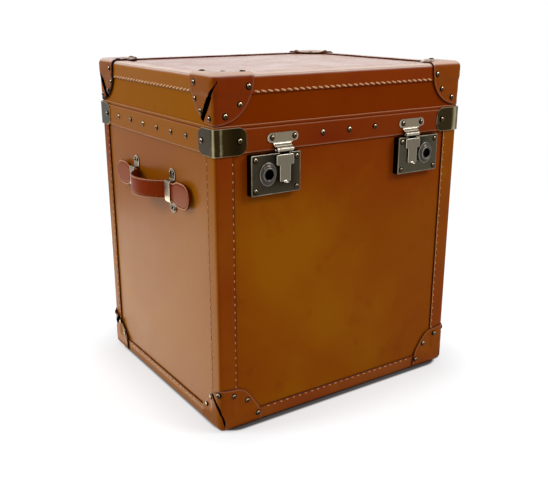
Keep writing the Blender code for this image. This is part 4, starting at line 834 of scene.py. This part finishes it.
def metal_strip(places, facings, across, half, thickness, bevel=0.0003, wall_shade=-0.6, band=0.0012):
    """Sheet metal cut to a width that varies along it and bent along a path: each cross section is
    a flat ring with bevelled outer corners, and the two end sections are bevelled as well."""
    half = np.asarray(half, float)[:, None]
    widths = np.maximum(half - np.array([0, bevel, bevel + band]), half * 0.3)
    offsets = np.hstack([-widths, widths[:, ::-1], half, -half])
    heights = np.tile([thickness - bevel, *[thickness] * 4, thickness - bevel, 0, 0], (len(places), 1))
    heights[[0, -1], :6] = thickness - bevel
    grid = places[:, None] + facings[:, None] * heights[..., None] + np.array(across) * offsets[..., None]
    # Bevelled edges bright with wear; the side walls and back are painted dark by the wall value, a painted
    # shade.
    wear_and_shade = np.tile([0.9, 1.0, 0, 0, 1.0, 0.9, wall_shade, wall_shade], (len(places), 1))
    wear_and_shade[[0, -1], :6] = 1.0
    wear_and_shade[[1, -2], :6] = np.maximum(wear_and_shade[[1, -2], :6], 0.7)
    return tube(grid, wear_and_shade)


def rounded_end(fillet, steps=8):
    """Distances in from an end and the width lost there, for a corner rounded by this much."""
    return (fillet * (1 - arc(0, 90, steps + 1))).T


BRACKET = 0.0012
BRACKET_OUT = BAND_OUT + 0.0003
SIDE_END, FRONT_END = 0.0380, 0.0470
bracket_low, bracket_high = [corner[2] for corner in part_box("band_bracket_back_right")]
run_in, width_lost = rounded_end(0.013)
run_in[1] = max(run_in[1], 0.0003)
side_places = np.concatenate([SIDE_END - run_in, mm(20, 15, 9, 6, 4.2)])
front_places = np.concatenate([FRONT_END - run_in, mm(30, 24, 19, 15, 12, 10, 8.5, 7, 5.5, 4.2)])[::-1]
plan, out = corner_walk(side_places, front_places, 10)
lost = np.concatenate([width_lost, np.zeros(len(plan) - 2 * len(width_lost)), width_lost[::-1]])
along = np.concatenate([-side_places, np.linspace(-0.0024, 0.0024, 11), front_places])
# Marks along the bracket from the arris, the side leg below zero: painted highlights at the bend and on the
# front leg, a painted dark reflection further along it.
PAINTED_SHEEN_PLACES = mm(-38, -12, -4, -1.6, -1.0, -0.4, 0.2, 1.0, 2.4, 4.2, 5.6, 7, 10, 15, 26, 34, 47)
PAINTED_SHEEN_MARKS = [0, 0.05, 0.15, 0.3, 0.9, 0.9, 0.2, 0, 0.05, 0.4, 0.6, 0.45, 0.15, -0.25, -0.5, -0.5, -0.15]
painted_sheen = np.repeat(np.interp(along, PAINTED_SHEEN_PLACES, PAINTED_SHEEN_MARKS), 8)
spots, faces, wear_and_shade = metal_strip(
    places_at(*(plan + out * BRACKET_OUT).T, (bracket_low + bracket_high) / 2), places_at(*out.T, 0.0),
    (0, 0, 1), (bracket_high - bracket_low) / 2 - lost, BRACKET, band=0.0006,
)
BRONZE = (tone(50, 40, 22), tone(158, 148, 116), (0.24, 0.34), (1, 1, 0.12))
SIDE_NAIL, FRONT_NAIL = 0.0280, 0.0355
nail_out = BRACKET_OUT + BRACKET
nail_plan = ((HALF_X + nail_out, HALF_X - FRONT_NAIL), (FACE_Y - SIDE_NAIL, FACE_Y + nail_out))
nail_places = places_at(*nail_plan, NAIL_LEVEL)
for number, (corner, sides) in enumerate(CORNERS.items()):
    name = "band_bracket_" + corner
    # The right front bracket is painted lighter all along: painted light.
    painted_lift = 0.4 if corner == "front_right" else 0.0
    bracket = (spots, faces, np.where(np.abs(wear_and_shade) < 0.1, painted_sheen + painted_lift, wear_and_shade))
    bronze = aged_metal(name, 2.0 + number, *BRONZE)
    fashion("bent_" + name, mirrored([bracket], *sides), bronze, "lid", [name])
    drive_nails("bracket_nails_" + corner, nail_places, [(1, 0, 0), (0, 1, 0)], sides, "lid")


# Locks: a pressed steel case riveted to the front, with a channel open at the top for the hasp's
# tongue, and a turned knob with a key hole that slides the bolt. Pewter-grey, worn to bare metal.

LOCK_SIDES = {"left": -1, "right": 1}
HASP_X = 0.1227
case_low, case_high = np.array(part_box("lock_case_right"))
CASE_X, _, CASE_Z = (case_low + case_high) / 2
CASE_HALF_X, _, CASE_HALF_Z = (case_high - case_low) / 2
CASE_OUT, CASE_RIM = 0.0117, 0.0014
KNOB_X, KNOB_Z = 0.1513, 0.3914
CHANNEL_LEFT, CHANNEL_RIGHT = HASP_X - 0.0045, HASP_X + 0.0045
CHANNEL_LOW, CHANNEL_DEEP = KNOB_Z - 0.0055, GLUE + 0.001
RIVET = (0.0037, 0.0017)


def case_ring(inset, out):
    """One rounded rectangle inside the case's outline, from the channel's right lip round to its left."""
    half_x, half_z, radius = CASE_HALF_X - inset, CASE_HALF_Z - inset, max(0.0016 - inset * 0.6, 0.0003)
    points = [(CHANNEL_RIGHT, CASE_Z + half_z)]
    for start, (side_x, side_z) in ((90, (1, 1)), (0, (1, -1)), (-90, (-1, -1)), (-180, (-1, 1))):
        centre = (CASE_X + side_x * (half_x - radius), CASE_Z + side_z * (half_z - radius))
        points += [*arc(start, start - 90, 5, centre, radius)]
    x, z = np.array(points + [(CHANNEL_LEFT, CASE_Z + half_z)]).T
    return places_at(x, FACE_Y + out, z)


def lock_case():
    """Walls and a rounded rim as rings with the channel left out, then the face with its notch."""
    levels = [(0.0, GLUE), (0.0, CASE_OUT - CASE_RIM)]
    for cos, sin in [(math.cos(a), math.sin(a)) for a in np.radians((22, 45, 67, 90))]:
        levels.append((CASE_RIM * (1 - cos), CASE_OUT - CASE_RIM + CASE_RIM * sin))
    rings = np.array([case_ring(*level) for level in levels + [(0.0026, CASE_OUT)]])
    face_y, deep_y = FACE_Y + CASE_OUT, FACE_Y + CHANNEL_DEEP
    lips = (CHANNEL_LEFT, CHANNEL_RIGHT)
    face = np.vstack([rings[-1], places_at(lips, face_y, CHANNEL_LOW)])
    # The case's walls and the channel's walls are painted dark; its rounded rim is bright with wear.
    parts = [patch(rings, edge=np.array([-0.8, -0.7, -0.1, 0.4, 0.7, 0.4, 0.0])[:, None])]
    parts.append((face, [list(range(len(face)))], np.zeros(len(face))))
    for top, x in ((rings[:, -1], CHANNEL_LEFT), (rings[:, 0], CHANNEL_RIGHT)):
        edge = np.vstack([top, (x, face_y, CHANNEL_LOW)])
        parts.append(patch(np.stack([edge, places_at(edge[:, 0], deep_y, edge[:, 2])]), edge=-0.8))
    foot = [places_at(lips, y, CHANNEL_LOW) for y in (face_y, deep_y)]
    floor = [places_at(lips, deep_y, z) for z in (CHANNEL_LOW, CASE_Z + CASE_HALF_Z)]
    return parts + [patch(foot, edge=-0.8), patch(floor, edge=-0.8)]


def turned(place, facing, profile, sides, edge):
    """Turns (radius, distance) pairs about a line through a place. It closes where a radius is zero."""
    facing, profile = np.array(facing, float), np.array(profile, float)
    across = unit(np.cross(facing, (0.3, 0.4, 0.86)))
    turn = np.linspace(0, 2 * np.pi, sides, endpoint=False)[:, None]
    ring = across * np.cos(turn) + np.cross(facing, across) * np.sin(turn)
    points = np.array(place) + ring * profile[:, None, :1] + facing * profile[:, None, 1:]
    return patch(points, wrap_columns=True, edge=np.array(edge)[:, None])


KNOB_PROFILE = mm(
    (0, 0.0), (16.0, 0.0), (16.0, 0.7), (15.7, 1.0), (14.8, 1.2), (13.5, 1.5), (12.9, 1.8), (12.3, 2.2),
    (11.5, 2.7), (11.0, 3.2), (10.7, 3.8), (10.4, 4.5), (10.0, 4.9), (9.4, 5.0), (8.3, 4.9), (7.7, 4.6),
    (7.3, 4.1), (7.2, 3.6), (7.1, 0.6), (0, 0.6),
)
# From the knob's foot to the bottom of its key hole: the foot and a step painted dark as shade, the ridges
# bright with wear, the key hole painted black as its shadow.
KNOB_WEAR_AND_SHADE = [0, -0.6, 0.2, 0.6, 0.4, 0, -0.5, -0.2, 0.1, 0, 0.1, 0.3, 0.7, 0.3, 0.1, 0.5, 0.1, -0.8, -1, -1]
CASE_DARK = {"left": tone(58, 53, 43), "right": tone(72, 68, 55)}
knob_place = (KNOB_X, FACE_Y + CASE_OUT + 0.0003, KNOB_Z)
knob_spots, faces, marks = turned(knob_place, (0, 1, 0), KNOB_PROFILE, 56, KNOB_WEAR_AND_SHADE)
skirt = ease(np.hypot(knob_spots[:, 0] - KNOB_X, knob_spots[:, 2] - KNOB_Z), 0.0105, 0.0135)
knob_spots[:, 0] -= (knob_spots[:, 0] - KNOB_X) * 0.11 * skirt
knob_spots[:, 2] += (knob_spots[:, 2] - KNOB_Z) * 0.06 * skirt
knob = [(knob_spots, faces, marks)]
rivets = [(CASE_X + a * 0.035, FACE_Y + CASE_OUT, CASE_Z + b * 0.022) for a in (-1, 1) for b in (-1, 1)]
for number, (name, side) in enumerate(LOCK_SIDES.items()):
    sides = (side, -1)
    case = "lock_case_" + name
    metal = aged_metal(case, 4.0 + number, CASE_DARK[name], tone(168, 158, 138), (0.3, 0.44), (1, 1, 0.1))
    fashion("pressed_" + case, mirrored(lock_case(), *sides), metal, "trunk", [case], 30)
    drive_nails("lock_rivets_" + name, rivets, (0, 1, 0), sides, "trunk", *RIVET)
    knob_node, bolt, spring = "lock_knob_" + name, "lock_bolt_" + name, "lock_spring_" + name
    metal = aged_metal(knob_node, 6.0 + number, tone(70, 65, 60), tone(150, 143, 132), (0.26, 0.36))
    fashion("turned_" + knob_node, mirrored(knob, *sides), metal, "slide_" + name, [knob_node])
    dress(bolt, aged_metal(bolt, 8.0, tone(110, 104, 94), tone(170, 164, 150)))
    dress(spring, aged_metal(spring, 8.5, tone(120, 116, 108), tone(180, 176, 166)))


# Hasps: a plate riveted to the band carries the outer knuckles, and the hasp hangs from it on a
# pin, with a finger lip at its foot and a tongue that goes into the lock. Worn nickel plate.

AXIS_OUT, AXIS_Z = 0.0105, 0.424
NICKEL_BRIGHT = tone(206, 198, 180)
LATCH_X = {"left": HASP_X - 0.0013, "right": HASP_X + 0.0027}
EAR, EAR_X, EAR_Z = 0.0070, 0.0190, 0.4406
PLATE = 0.0016


def square_to(places, across):
    """The way that a bent strip faces, square to its path and to its width."""
    return unit(np.cross(np.gradient(places, axis=0), across))


def front_strip(levels, out, half, thickness, x=HASP_X, wall_shade=-0.6, band=0.0012):
    """A metal strip that runs down the front: its levels, how far out its inner face lies, its width."""
    places = places_at(x, FACE_Y + np.asarray(out, float), levels)
    facings = square_to(places, (1.0, 0, 0))
    facings *= np.sign(facings[:, 1:2] + 1e-9)
    return metal_strip(places, facings, (1, 0, 0), half, thickness, 0.00025, wall_shade, band)


def knuckle(start, end, radius=0.0035, out=AXIS_OUT, z=AXIS_Z):
    """A rolled knuckle along the hinge line, its rims eased."""
    rim, length = 0.0003, end - start
    profile = [(0, 0), (radius - rim, 0), (radius, rim)]
    profile += [(across, length - along) for across, along in profile[::-1]]
    # The knuckle's end faces are painted dark as shade; its barrel is bright, partly wear and partly a
    # painted highlight.
    return turned((start, FACE_Y + out, z), (1, 0, 0), profile, 28, [-0.6, -0.6, 0.5, 0.5, -0.6, -0.6])


def latch_plate(middle):
    """Ears and body of the riveted plate, the flange that steps out to the hinge, and its knuckles."""
    halves, levels = arc(90, -55, 13, (EAR_X, EAR_Z), EAR).T
    levels = [EAR_Z + EAR + 0.00001, *levels, 0.4338, 0.4322]
    ears = front_strip(levels, BRACKET_OUT, [EAR_X, *halves, 0.0168, 0.0152], PLATE, middle, band=0.0017)
    step_z = mm(432.6, 431.6, 430.4, 429.2, 428.2, 427.4)
    step_out = [BRACKET_OUT, BRACKET_OUT + 0.0001, 0.0052, 0.0066, 0.0082, 0.0094]
    flange = front_strip(step_z, step_out, mm(15.2, 15.1, 15.0, 14.9, 14.8, 14.8), PLATE)
    ends = HASP_X + mm(-14.5, -8.3, 8.3, 13.1)
    return [ears, flange, knuckle(*ends[:2]), knuckle(*ends[2:])]


def hasp():
    """The knuckle, the neck painted black as the shadow under the knuckle, the plate with its shoulders and
    its side walls painted black as shade, the finger lip and the tongue.
    """
    in_from, left = rounded_end(0.0019, 4)
    wide, narrow, level = 0.0147, 0.0090, 0.4025
    rows = [(0.4172, 0.0128), (0.4168, 0.0138), (0.4160, 0.0146), (0.4150, wide)]
    rows += [*zip(level + left, wide - in_from), *zip(level - 0.0002 - in_from, narrow + left)]
    rows += [(0.3800, narrow), (0.3790, 0.0087), (0.3786, 0.0081), (0.3785, 0.0074)]
    levels, halves = np.array(rows).T
    plate = front_strip(levels, CASE_OUT + 0.0003, halves, 0.0020, wall_shade=-1.0, band=0.0008)
    neck_z, neck_out = mm(424.6, 422.5, 420.0, 418.0, 416.6), mm(10.8, 10.8, 10.8, 11.2, 11.8)
    spots, faces, _ = front_strip(neck_z, neck_out, [0.0078] * 5, 0.0012)
    neck = (spots, faces, np.full(len(spots), -1.0))
    lip_out, lip_z = mm(13.0, 13.4, 14.4, 15.8, 17.4, 18.6), mm(380.0, 378.6, 377.5, 376.9, 377.0, 377.7)
    places = places_at(HASP_X, FACE_Y + lip_out, lip_z)
    lip = metal_strip(places, square_to(places, (-1.0, 0, 0)), (1, 0, 0), [0.00275] * 6, 0.0012)
    x = HASP_X + mm(-4, 4, 4, -4)
    tongue = np.array([places_at(x, FACE_Y + out, KNOB_Z + mm(-5, -5, 5, 5)) for out in mm(5.2, 5.6, 12.6)])
    tongue[0] = tongue[0] * 0.92 + tongue[0].mean(0) * 0.08
    return [plate, neck, knuckle(HASP_X - 0.008, HASP_X + 0.008), lip, tube(tongue, 0.4)]


for number, (name, side) in enumerate(LOCK_SIDES.items()):
    plate, node, pin = "latch_plate_" + name, "hasp_" + name, "hasp_pin_" + name
    latch = mirrored(latch_plate(LATCH_X[name]), side, -1)
    metal = aged_metal(plate, 1.0 + number, tone(126, 116, 98), NICKEL_BRIGHT, (0.26, 0.4), (1, 1, 0.15))
    fashion("bent_" + plate, latch, metal, "lid", [plate], 35)
    middle = LATCH_X[name] + side * 0.0012
    rivets = [(middle + a * EAR_X, FACE_Y + BRACKET_OUT + PLATE, 0.4410) for a in (-1, 1)]
    drive_nails("latch_rivets_" + name, rivets, (0, 1, 0), (side, -1), "lid", *RIVET)
    metal = aged_metal(node, 5.0 + number, tone(112, 104, 90), NICKEL_BRIGHT, (0.28, 0.42), (1, 1, 0.15))
    fashion("worn_" + node, mirrored(hasp(), side, -1), metal, node, [node], 35)
    dress(pin, aged_metal(pin, 9.0, tone(120, 112, 96), NICKEL_BRIGHT))


# Back hinges: two flat brass leaves each, one riveted to the band and one to the body, joined by
# knuckles on a pin. The body's leaf steps out under the band to reach the hinge line.

HINGE_X = 0.120
HINGE_HALF = 0.030
HINGE_GAP = 0.0100
BARREL = {"radius": 0.0032, "out": 0.0075, "z": SEAM}


def leaf(low, high, out):
    """A flat leaf with rounded corners."""
    run, loss = rounded_end(0.004, 5)
    levels = np.concatenate([high - run, (low + run)[::-1]])
    return front_strip(levels, out, HINGE_HALF - np.concatenate([loss, loss[::-1]]), PLATE, HINGE_X)


upper = [
    leaf(0.4296, 0.4530, BRACKET_OUT),
    front_strip([0.4306, 0.4285, 0.4262], BRACKET_OUT, [0.0095] * 3, PLATE, HINGE_X),
    knuckle(HINGE_X - 0.0097, HINGE_X + 0.0097, **BARREL),
]
lower = [leaf(0.3850, 0.4160, GLUE)]
web_z, web_out = mm(420.0, 418.6, 417.0, 415.2, 414.0), mm(6.4, 5.0, 3.0, 1.0, 0.4)
for start, end in ((-HINGE_HALF, -HINGE_GAP), (HINGE_GAP, HINGE_HALF)):
    lower.append(front_strip(web_z, web_out, [(end - start) / 2] * 5, 0.0015, HINGE_X + (start + end) / 2))
    lower.append(knuckle(HINGE_X + start, HINGE_X + end, **BARREL))
for number, (name, side) in enumerate(LOCK_SIDES.items()):
    look = aged_metal("hinge_" + name, 7.0 + number, tone(116, 98, 66), tone(190, 168, 122), (0.28, 0.42))
    for part, body, leaves in (("lid", "lid", upper), ("body", "trunk", lower)):
        piece = f"hinge_{part}_leaf_plate_{name}"
        fashion(piece, mirrored(leaves, side), look, body, [f"hinge_{part}_leaf_{name}"], 35)
    dress("hinge_pin_" + name, look)
    for body, level, out in (("lid", 0.445, BRACKET_OUT), ("trunk", 0.393, GLUE)):
        rivets = places_at(HINGE_X + mm(-20, 0, 20), FACE_Y + out + PLATE, level)
        drive_nails(f"hinge_{body}_rivets_{name}", rivets, (0, 1, 0), (side, 1), body, 0.0030, 0.0015)


# Handles: a doubled and sewn leather strap with a round paddle at each end, held by two nickel
# loops on each side. Between the loops it stands away from the trunk for the hand.

HANDLE_Z = 0.350
LOOP_Y = 0.065
STRAP_IN, STRAP_THICK, STRAP_HALF = 0.0043, 0.0044, 0.0150
PADDLE_HALF, PADDLE_END, NECK_END = 0.0200, 0.130, 0.0782
BOW, BOW_HALF = 0.027, 0.050
PADDLE_START = PADDLE_END - PADDLE_HALF
tips = PADDLE_START + PADDLE_HALF * np.sin(np.radians([0, 15, 30, 42, 52, 61, 69, 76, 82, 86, 89]))
flares = np.linspace(NECK_END, NECK_END + 0.018, 8)
stations = np.concatenate([np.linspace(0, BOW_HALF, 22), mm(56, 62, 68, 74), flares, [0.1035], tips])
stations = np.unique(np.round(np.concatenate([-stations, stations]), 6))

# Between its loops the strap bows out. It is narrow through them, then flares into a round end.
far = np.abs(stations)
bow = BOW * (1 - np.clip(far / BOW_HALF, 0, 1) ** 2.2)
flare = STRAP_HALF + (PADDLE_HALF - STRAP_HALF) * ease(far, NECK_END, NECK_END + 0.016)
tip = np.sqrt(np.clip(PADDLE_HALF**2 - (far - PADDLE_START) ** 2, 0, None))
wide = np.where(far <= PADDLE_START, flare, tip)[:, None]
middle_x = HALF_X + STRAP_IN + STRAP_THICK / 2 + bow
middle_line = np.stack([middle_x, MIDDLE_Y + stations], 1)
slope = np.gradient(middle_line, axis=0)
outward = unit(np.stack([slope[:, 1], -slope[:, 0]], 1))
rim_in = mm(0.0, 0.2, 0.6, 1.2, 2.1, 2.8, 3.3, 3.8, 4.4, 6.0)
face_height = STRAP_THICK / 2 - soft_rim(rim_in, 0.0016) - 0.0009 * bell(rim_in, 0.0033, 0.0006)
offset = np.maximum(wide - rim_in, wide * np.linspace(1, 0.35, len(rim_in)))
back_in = np.maximum(wide - 0.0014, wide * 0.6)
across = np.hstack([-offset, offset[:, ::-1], wide, back_in, -back_in, -wide])
back_height = [-0.0008, -STRAP_THICK / 2, -STRAP_THICK / 2, -0.0008]
height = np.tile([*face_height, *face_height[::-1], *back_height], (len(stations), 1))
height[[0, -1]] *= 0.5
line_x, line_y = (middle_line[:, None] + outward[:, None] * height[..., None]).transpose(2, 0, 1)
# Across the strap's rim: the cut edge and the creased groove dark, partly edge dye and partly painted
# shade, the rim between them pale as a painted highlight, and the back dark as painted shade.
strap_rim_light_and_shade = np.interp(rim_in, mm(0, 0.3, 0.8, 2.2, 2.7, 3.3, 3.9, 4.5), [0.6, 0, -0.9, -0.7, 0, 1.2, 0.3, 0])
strap_light_and_shade = np.concatenate([strap_rim_light_and_shade, strap_rim_light_and_shade[::-1], [1.0, 0.5, 0.5, 1.0]])
# The paddles are paler: a painted reflection.
strap_light_and_shade = strap_light_and_shade - 0.3 * ease(far, NECK_END, NECK_END + 0.006)[:, None]
strap = tube(places_at(line_x, line_y, HANDLE_Z + across), strap_light_and_shade)

grip = np.linspace(-0.040, 0.040, 18)
grip_x = np.interp(grip, stations, middle_x)
grip_ways = unit(places_at(np.gradient(grip_x), np.gradient(grip), 0.0))
grip_out = np.cross(grip_ways, (0, 0, 1.0))
grip_stitches = []
for edge in (-1, 1):
    centres = places_at(grip_x, MIDDLE_Y + grip, HANDLE_Z + edge * (STRAP_HALF - 0.0033))
    centres += grip_out * (STRAP_THICK / 2 - 0.0008)
    grip_stitches.append(copies(stitch_shape(0.0034, 0.0009, 0.0002), centres, grip_ways, grip_out))

LOOP, LOOP_CLEAR = 0.0016, 0.0006
inner_z = STRAP_HALF + LOOP_CLEAR
loop_out = STRAP_IN + STRAP_THICK + LOOP_CLEAR
foot = [(0, 18.5), (0, 18.2), (0, 16.5), (0, 14), (0, 11), (0, 8), (0, 4.5)]
foot = mm(*foot, (0.3, 1.6), (1.2, 0.4), (3, 0))
turn_out = mm((-2.2, 0), (-0.8, -0.5), (0, -2))
loop_path = [*(foot + (GLUE, inner_z)), *(turn_out + (loop_out, inner_z)), (loop_out, 0.006)]
loop_x, loop_z = np.array(loop_path + [(x, -z) for x, z in loop_path[::-1]]).T
loop_half = mm(2.0, 3.6, 6.6, 8.6, 9.4, 9.4, 8.6, 8.0, *[7.8] * 12, 8.0, 8.6, 9.4, 9.4, 8.6, 6.6, 3.6, 2.0)
loop_places = places_at(HALF_X + loop_x, MIDDLE_Y + LOOP_Y, HANDLE_Z + loop_z)
loop_facings = square_to(loop_places, (0, 1.0, 0))
spots, faces, marks = metal_strip(loop_places, loop_facings, (0, 1, 0), loop_half, LOOP, 0.00025)
# Below the strap the loop is painted darker: a painted shade.
low = spots[:, 2] < HANDLE_Z - inner_z - 0.001
loop = [(spots, faces, np.where(low, marks * 0.3 - 0.65, marks))]
nail_x, nail_y = HALF_X + GLUE + LOOP, MIDDLE_Y + LOOP_Y
loop_nails = [(nail_x, nail_y + a * 0.0045, HANDLE_Z + b * 0.0275) for a in (-1, 1) for b in (-1, 1)]
STRAP_LOOK = {"hide": (tone(102, 22, 0), tone(128, 48, 2), tone(156, 82, 16)), "ior": 1.13}
STRAP_HIGHLIGHT = (tone(200, 142, 100), 0.8)
LOOP_NICKEL = (tone(132, 120, 102), tone(214, 206, 190), (0.2, 0.34))
LOOP_NAIL = (0.0027, 0.0019)
for number, (name, side) in enumerate(LOCK_SIDES.items()):
    node, body = "handle_strap_" + name, "strap_" + name
    leather = waxed_leather(node, 21.0 + number, pale=STRAP_HIGHLIGHT, **STRAP_LOOK)
    fashion("sewn_" + node, mirrored([strap], side), leather, body, [node], 50)
    thread = linen_thread("strap_thread_" + name, tone(150, 84, 44), tone(96, 44, 20))
    fashion("strap_stitches_" + name, mirrored(grip_stitches, side), thread, body)
    for end, side_y in (("front", -1), ("back", 1)):
        node = f"handle_loop_{end}_{name}"
        metal = aged_metal(node, 3.0 + number + side_y, *LOOP_NICKEL)
        fashion("bent_" + node, mirrored(loop, side, side_y), metal, "trunk", [node], 35)
        drive_nails(f"loop_nails_{end}_{name}", loop_nails, (1, 0, 0), (side, side_y), "trunk", *LOOP_NAIL)


# Studio: a pale floor that fades into a white room, soft boxes behind, at the left and in front,
# and the camera where the photograph was taken from.

WHITE = (1, 1, 1, 1)


def looked_at(nodes):
    """1 for a ray that the camera, a reflection or glass sends out, 0 for light that bounces."""
    rays = nodes.tree.nodes.new("ShaderNodeLightPath").outputs
    seen = nodes.maths("MAXIMUM", rays["Is Camera Ray"], rays["Is Glossy Ray"])
    return nodes.maths("MAXIMUM", seen, rays["Is Transmission Ray"])


room = bpy.data.worlds.new("room")
bpy.context.scene.world = room
air = Nodes(room)
strength = air.spread(looked_at(air), 0.0, 1.0, 0.5, 1.0)
air.fill(air.tree.nodes["Background"], {"Color": WHITE, "Strength": strength})

FLOOR_REACH = 14.0
floor_mesh = bpy.data.meshes.new("floor")
floor_corners = [(x * FLOOR_REACH, y * FLOOR_REACH, 0) for x, y in ((-1, -1), (1, -1), (1, 1), (-1, 1))]
floor_mesh.from_pydata(floor_corners, [], [(0, 1, 2, 3)])
floor = bpy.data.objects.new("floor", floor_mesh)
bpy.context.scene.collection.objects.link(floor)
ground = Finish("floor_finish", IOR=1.3, Roughness=0.9)
seen = looked_at(ground)
distance = ground.add("VectorMath", {0: ground.place()}, "Value", operation="LENGTH")
far_away = ground.maths("MULTIPLY", ground.spread(distance, 0.7, 1.9), seen)

# How far a place on the floor lies beyond the trunk's rounded foot. Near the foot the floor's colour is
# darkened and its glow turned down, a painted shadow beside the trunk.
ROUND_OFF = 0.03
beside = []
for axis, inside in enumerate((HALF_X - 0.004 - ROUND_OFF, HALF_Y - ROUND_OFF)):
    out = ground.maths("SUBTRACT", ground.maths("ABSOLUTE", ground.along(axis)), inside)
    out = ground.maths("MAXIMUM", out)
    beside.append(ground.maths("MULTIPLY", out, out))
beside = ground.maths("SUBTRACT", ground.maths("SQRT", ground.maths("ADD", *beside)), ROUND_OFF)
shade = ground.coats((0.12, 0.11, 0.11, 1), ((0.49, 0.5, 0.51, 1), beside, 0.001, 0.008))
ground.fill(ground.shader, {"Base Color": shade})
clear = [ground.spread(beside, 0.0015, 0.008, 0.0, 0.5), ground.spread(beside, 0.005, 0.1, 0.0, 0.16)]
clear = ground.maths("MULTIPLY", ground.maths("ADD", *clear), seen)
glow = ground.add("Emission", {"Color": WHITE, "Strength": clear})
white = ground.add("Emission", {"Color": WHITE, "Strength": 1.0})
near_floor = ground.add("AddShader", {0: ground.shader.outputs[0], 1: glow})
whole_floor = ground.add("MixShader", {0: far_away, 1: near_floor, 2: white})
ground.fill(ground.tree.nodes["Material Output"], {"Surface": whole_floor})
floor_mesh.materials.append(ground.material)


def turn_to(item, way):
    """Points an object's lens or lamp along a direction, its top upwards."""
    bpy.context.scene.collection.objects.link(item)
    item.rotation_mode = "QUATERNION"
    item.rotation_quaternion = Vector(way).to_track_quat("-Z", "Y")


def soft_box(name, place, target, size, power, tint=(1, 1, 1)):
    """A rectangular lamp that faces a place on the trunk. The camera doesn't see it."""
    lamp = bpy.data.lights.new(name, "AREA")
    lamp.shape = "RECTANGLE"
    lamp.size, lamp.size_y = size
    lamp.energy = power
    lamp.color = tint
    item = bpy.data.objects.new(name, lamp)
    item.location = place
    turn_to(item, np.array(target, float) - np.array(place, float))
    item.visible_camera = False
    return item


sheen_box = soft_box("floor_glow", (-0.68, 0.47, 0.01), (-0.68, 0.47, 1.0), (0.89, 1.2), 9, (1, 0.9, 0.72))
sheen_box.visible_diffuse = False
soft_box("back_box", (1.5, 2.4, 1.35), (0, 0, 0.5), (3.0, 1.4), 9)
soft_box("left_key", (-2.0, 0.7, 1.7), (0, 0, 0.3), (0.8, 0.8), 22)
soft_box("front_key", (1.7, -2.0, 2.2), (0, 0, 0.25), (1.2, 1.2), 38)
soft_box("spark", (-0.6, -2.2, 2.3), (0, 0, 0.3), (0.5, 0.5), 8)

azimuth, elevation = math.radians(-33.751), math.radians(17.404)
level_out = math.cos(elevation)
lens = bpy.data.cameras.new("camera")
lens.sensor_width = 36
lens.lens = 49.39
camera = bpy.data.objects.new("camera", lens)
camera.location = (-0.71849, -1.06893, 0.61335)
turn_to(camera, (-math.sin(azimuth) * level_out, math.cos(azimuth) * level_out, -math.sin(elevation)))
bpy.context.scene.camera = camera
bpy.context.scene.view_settings.view_transform = "Standard"
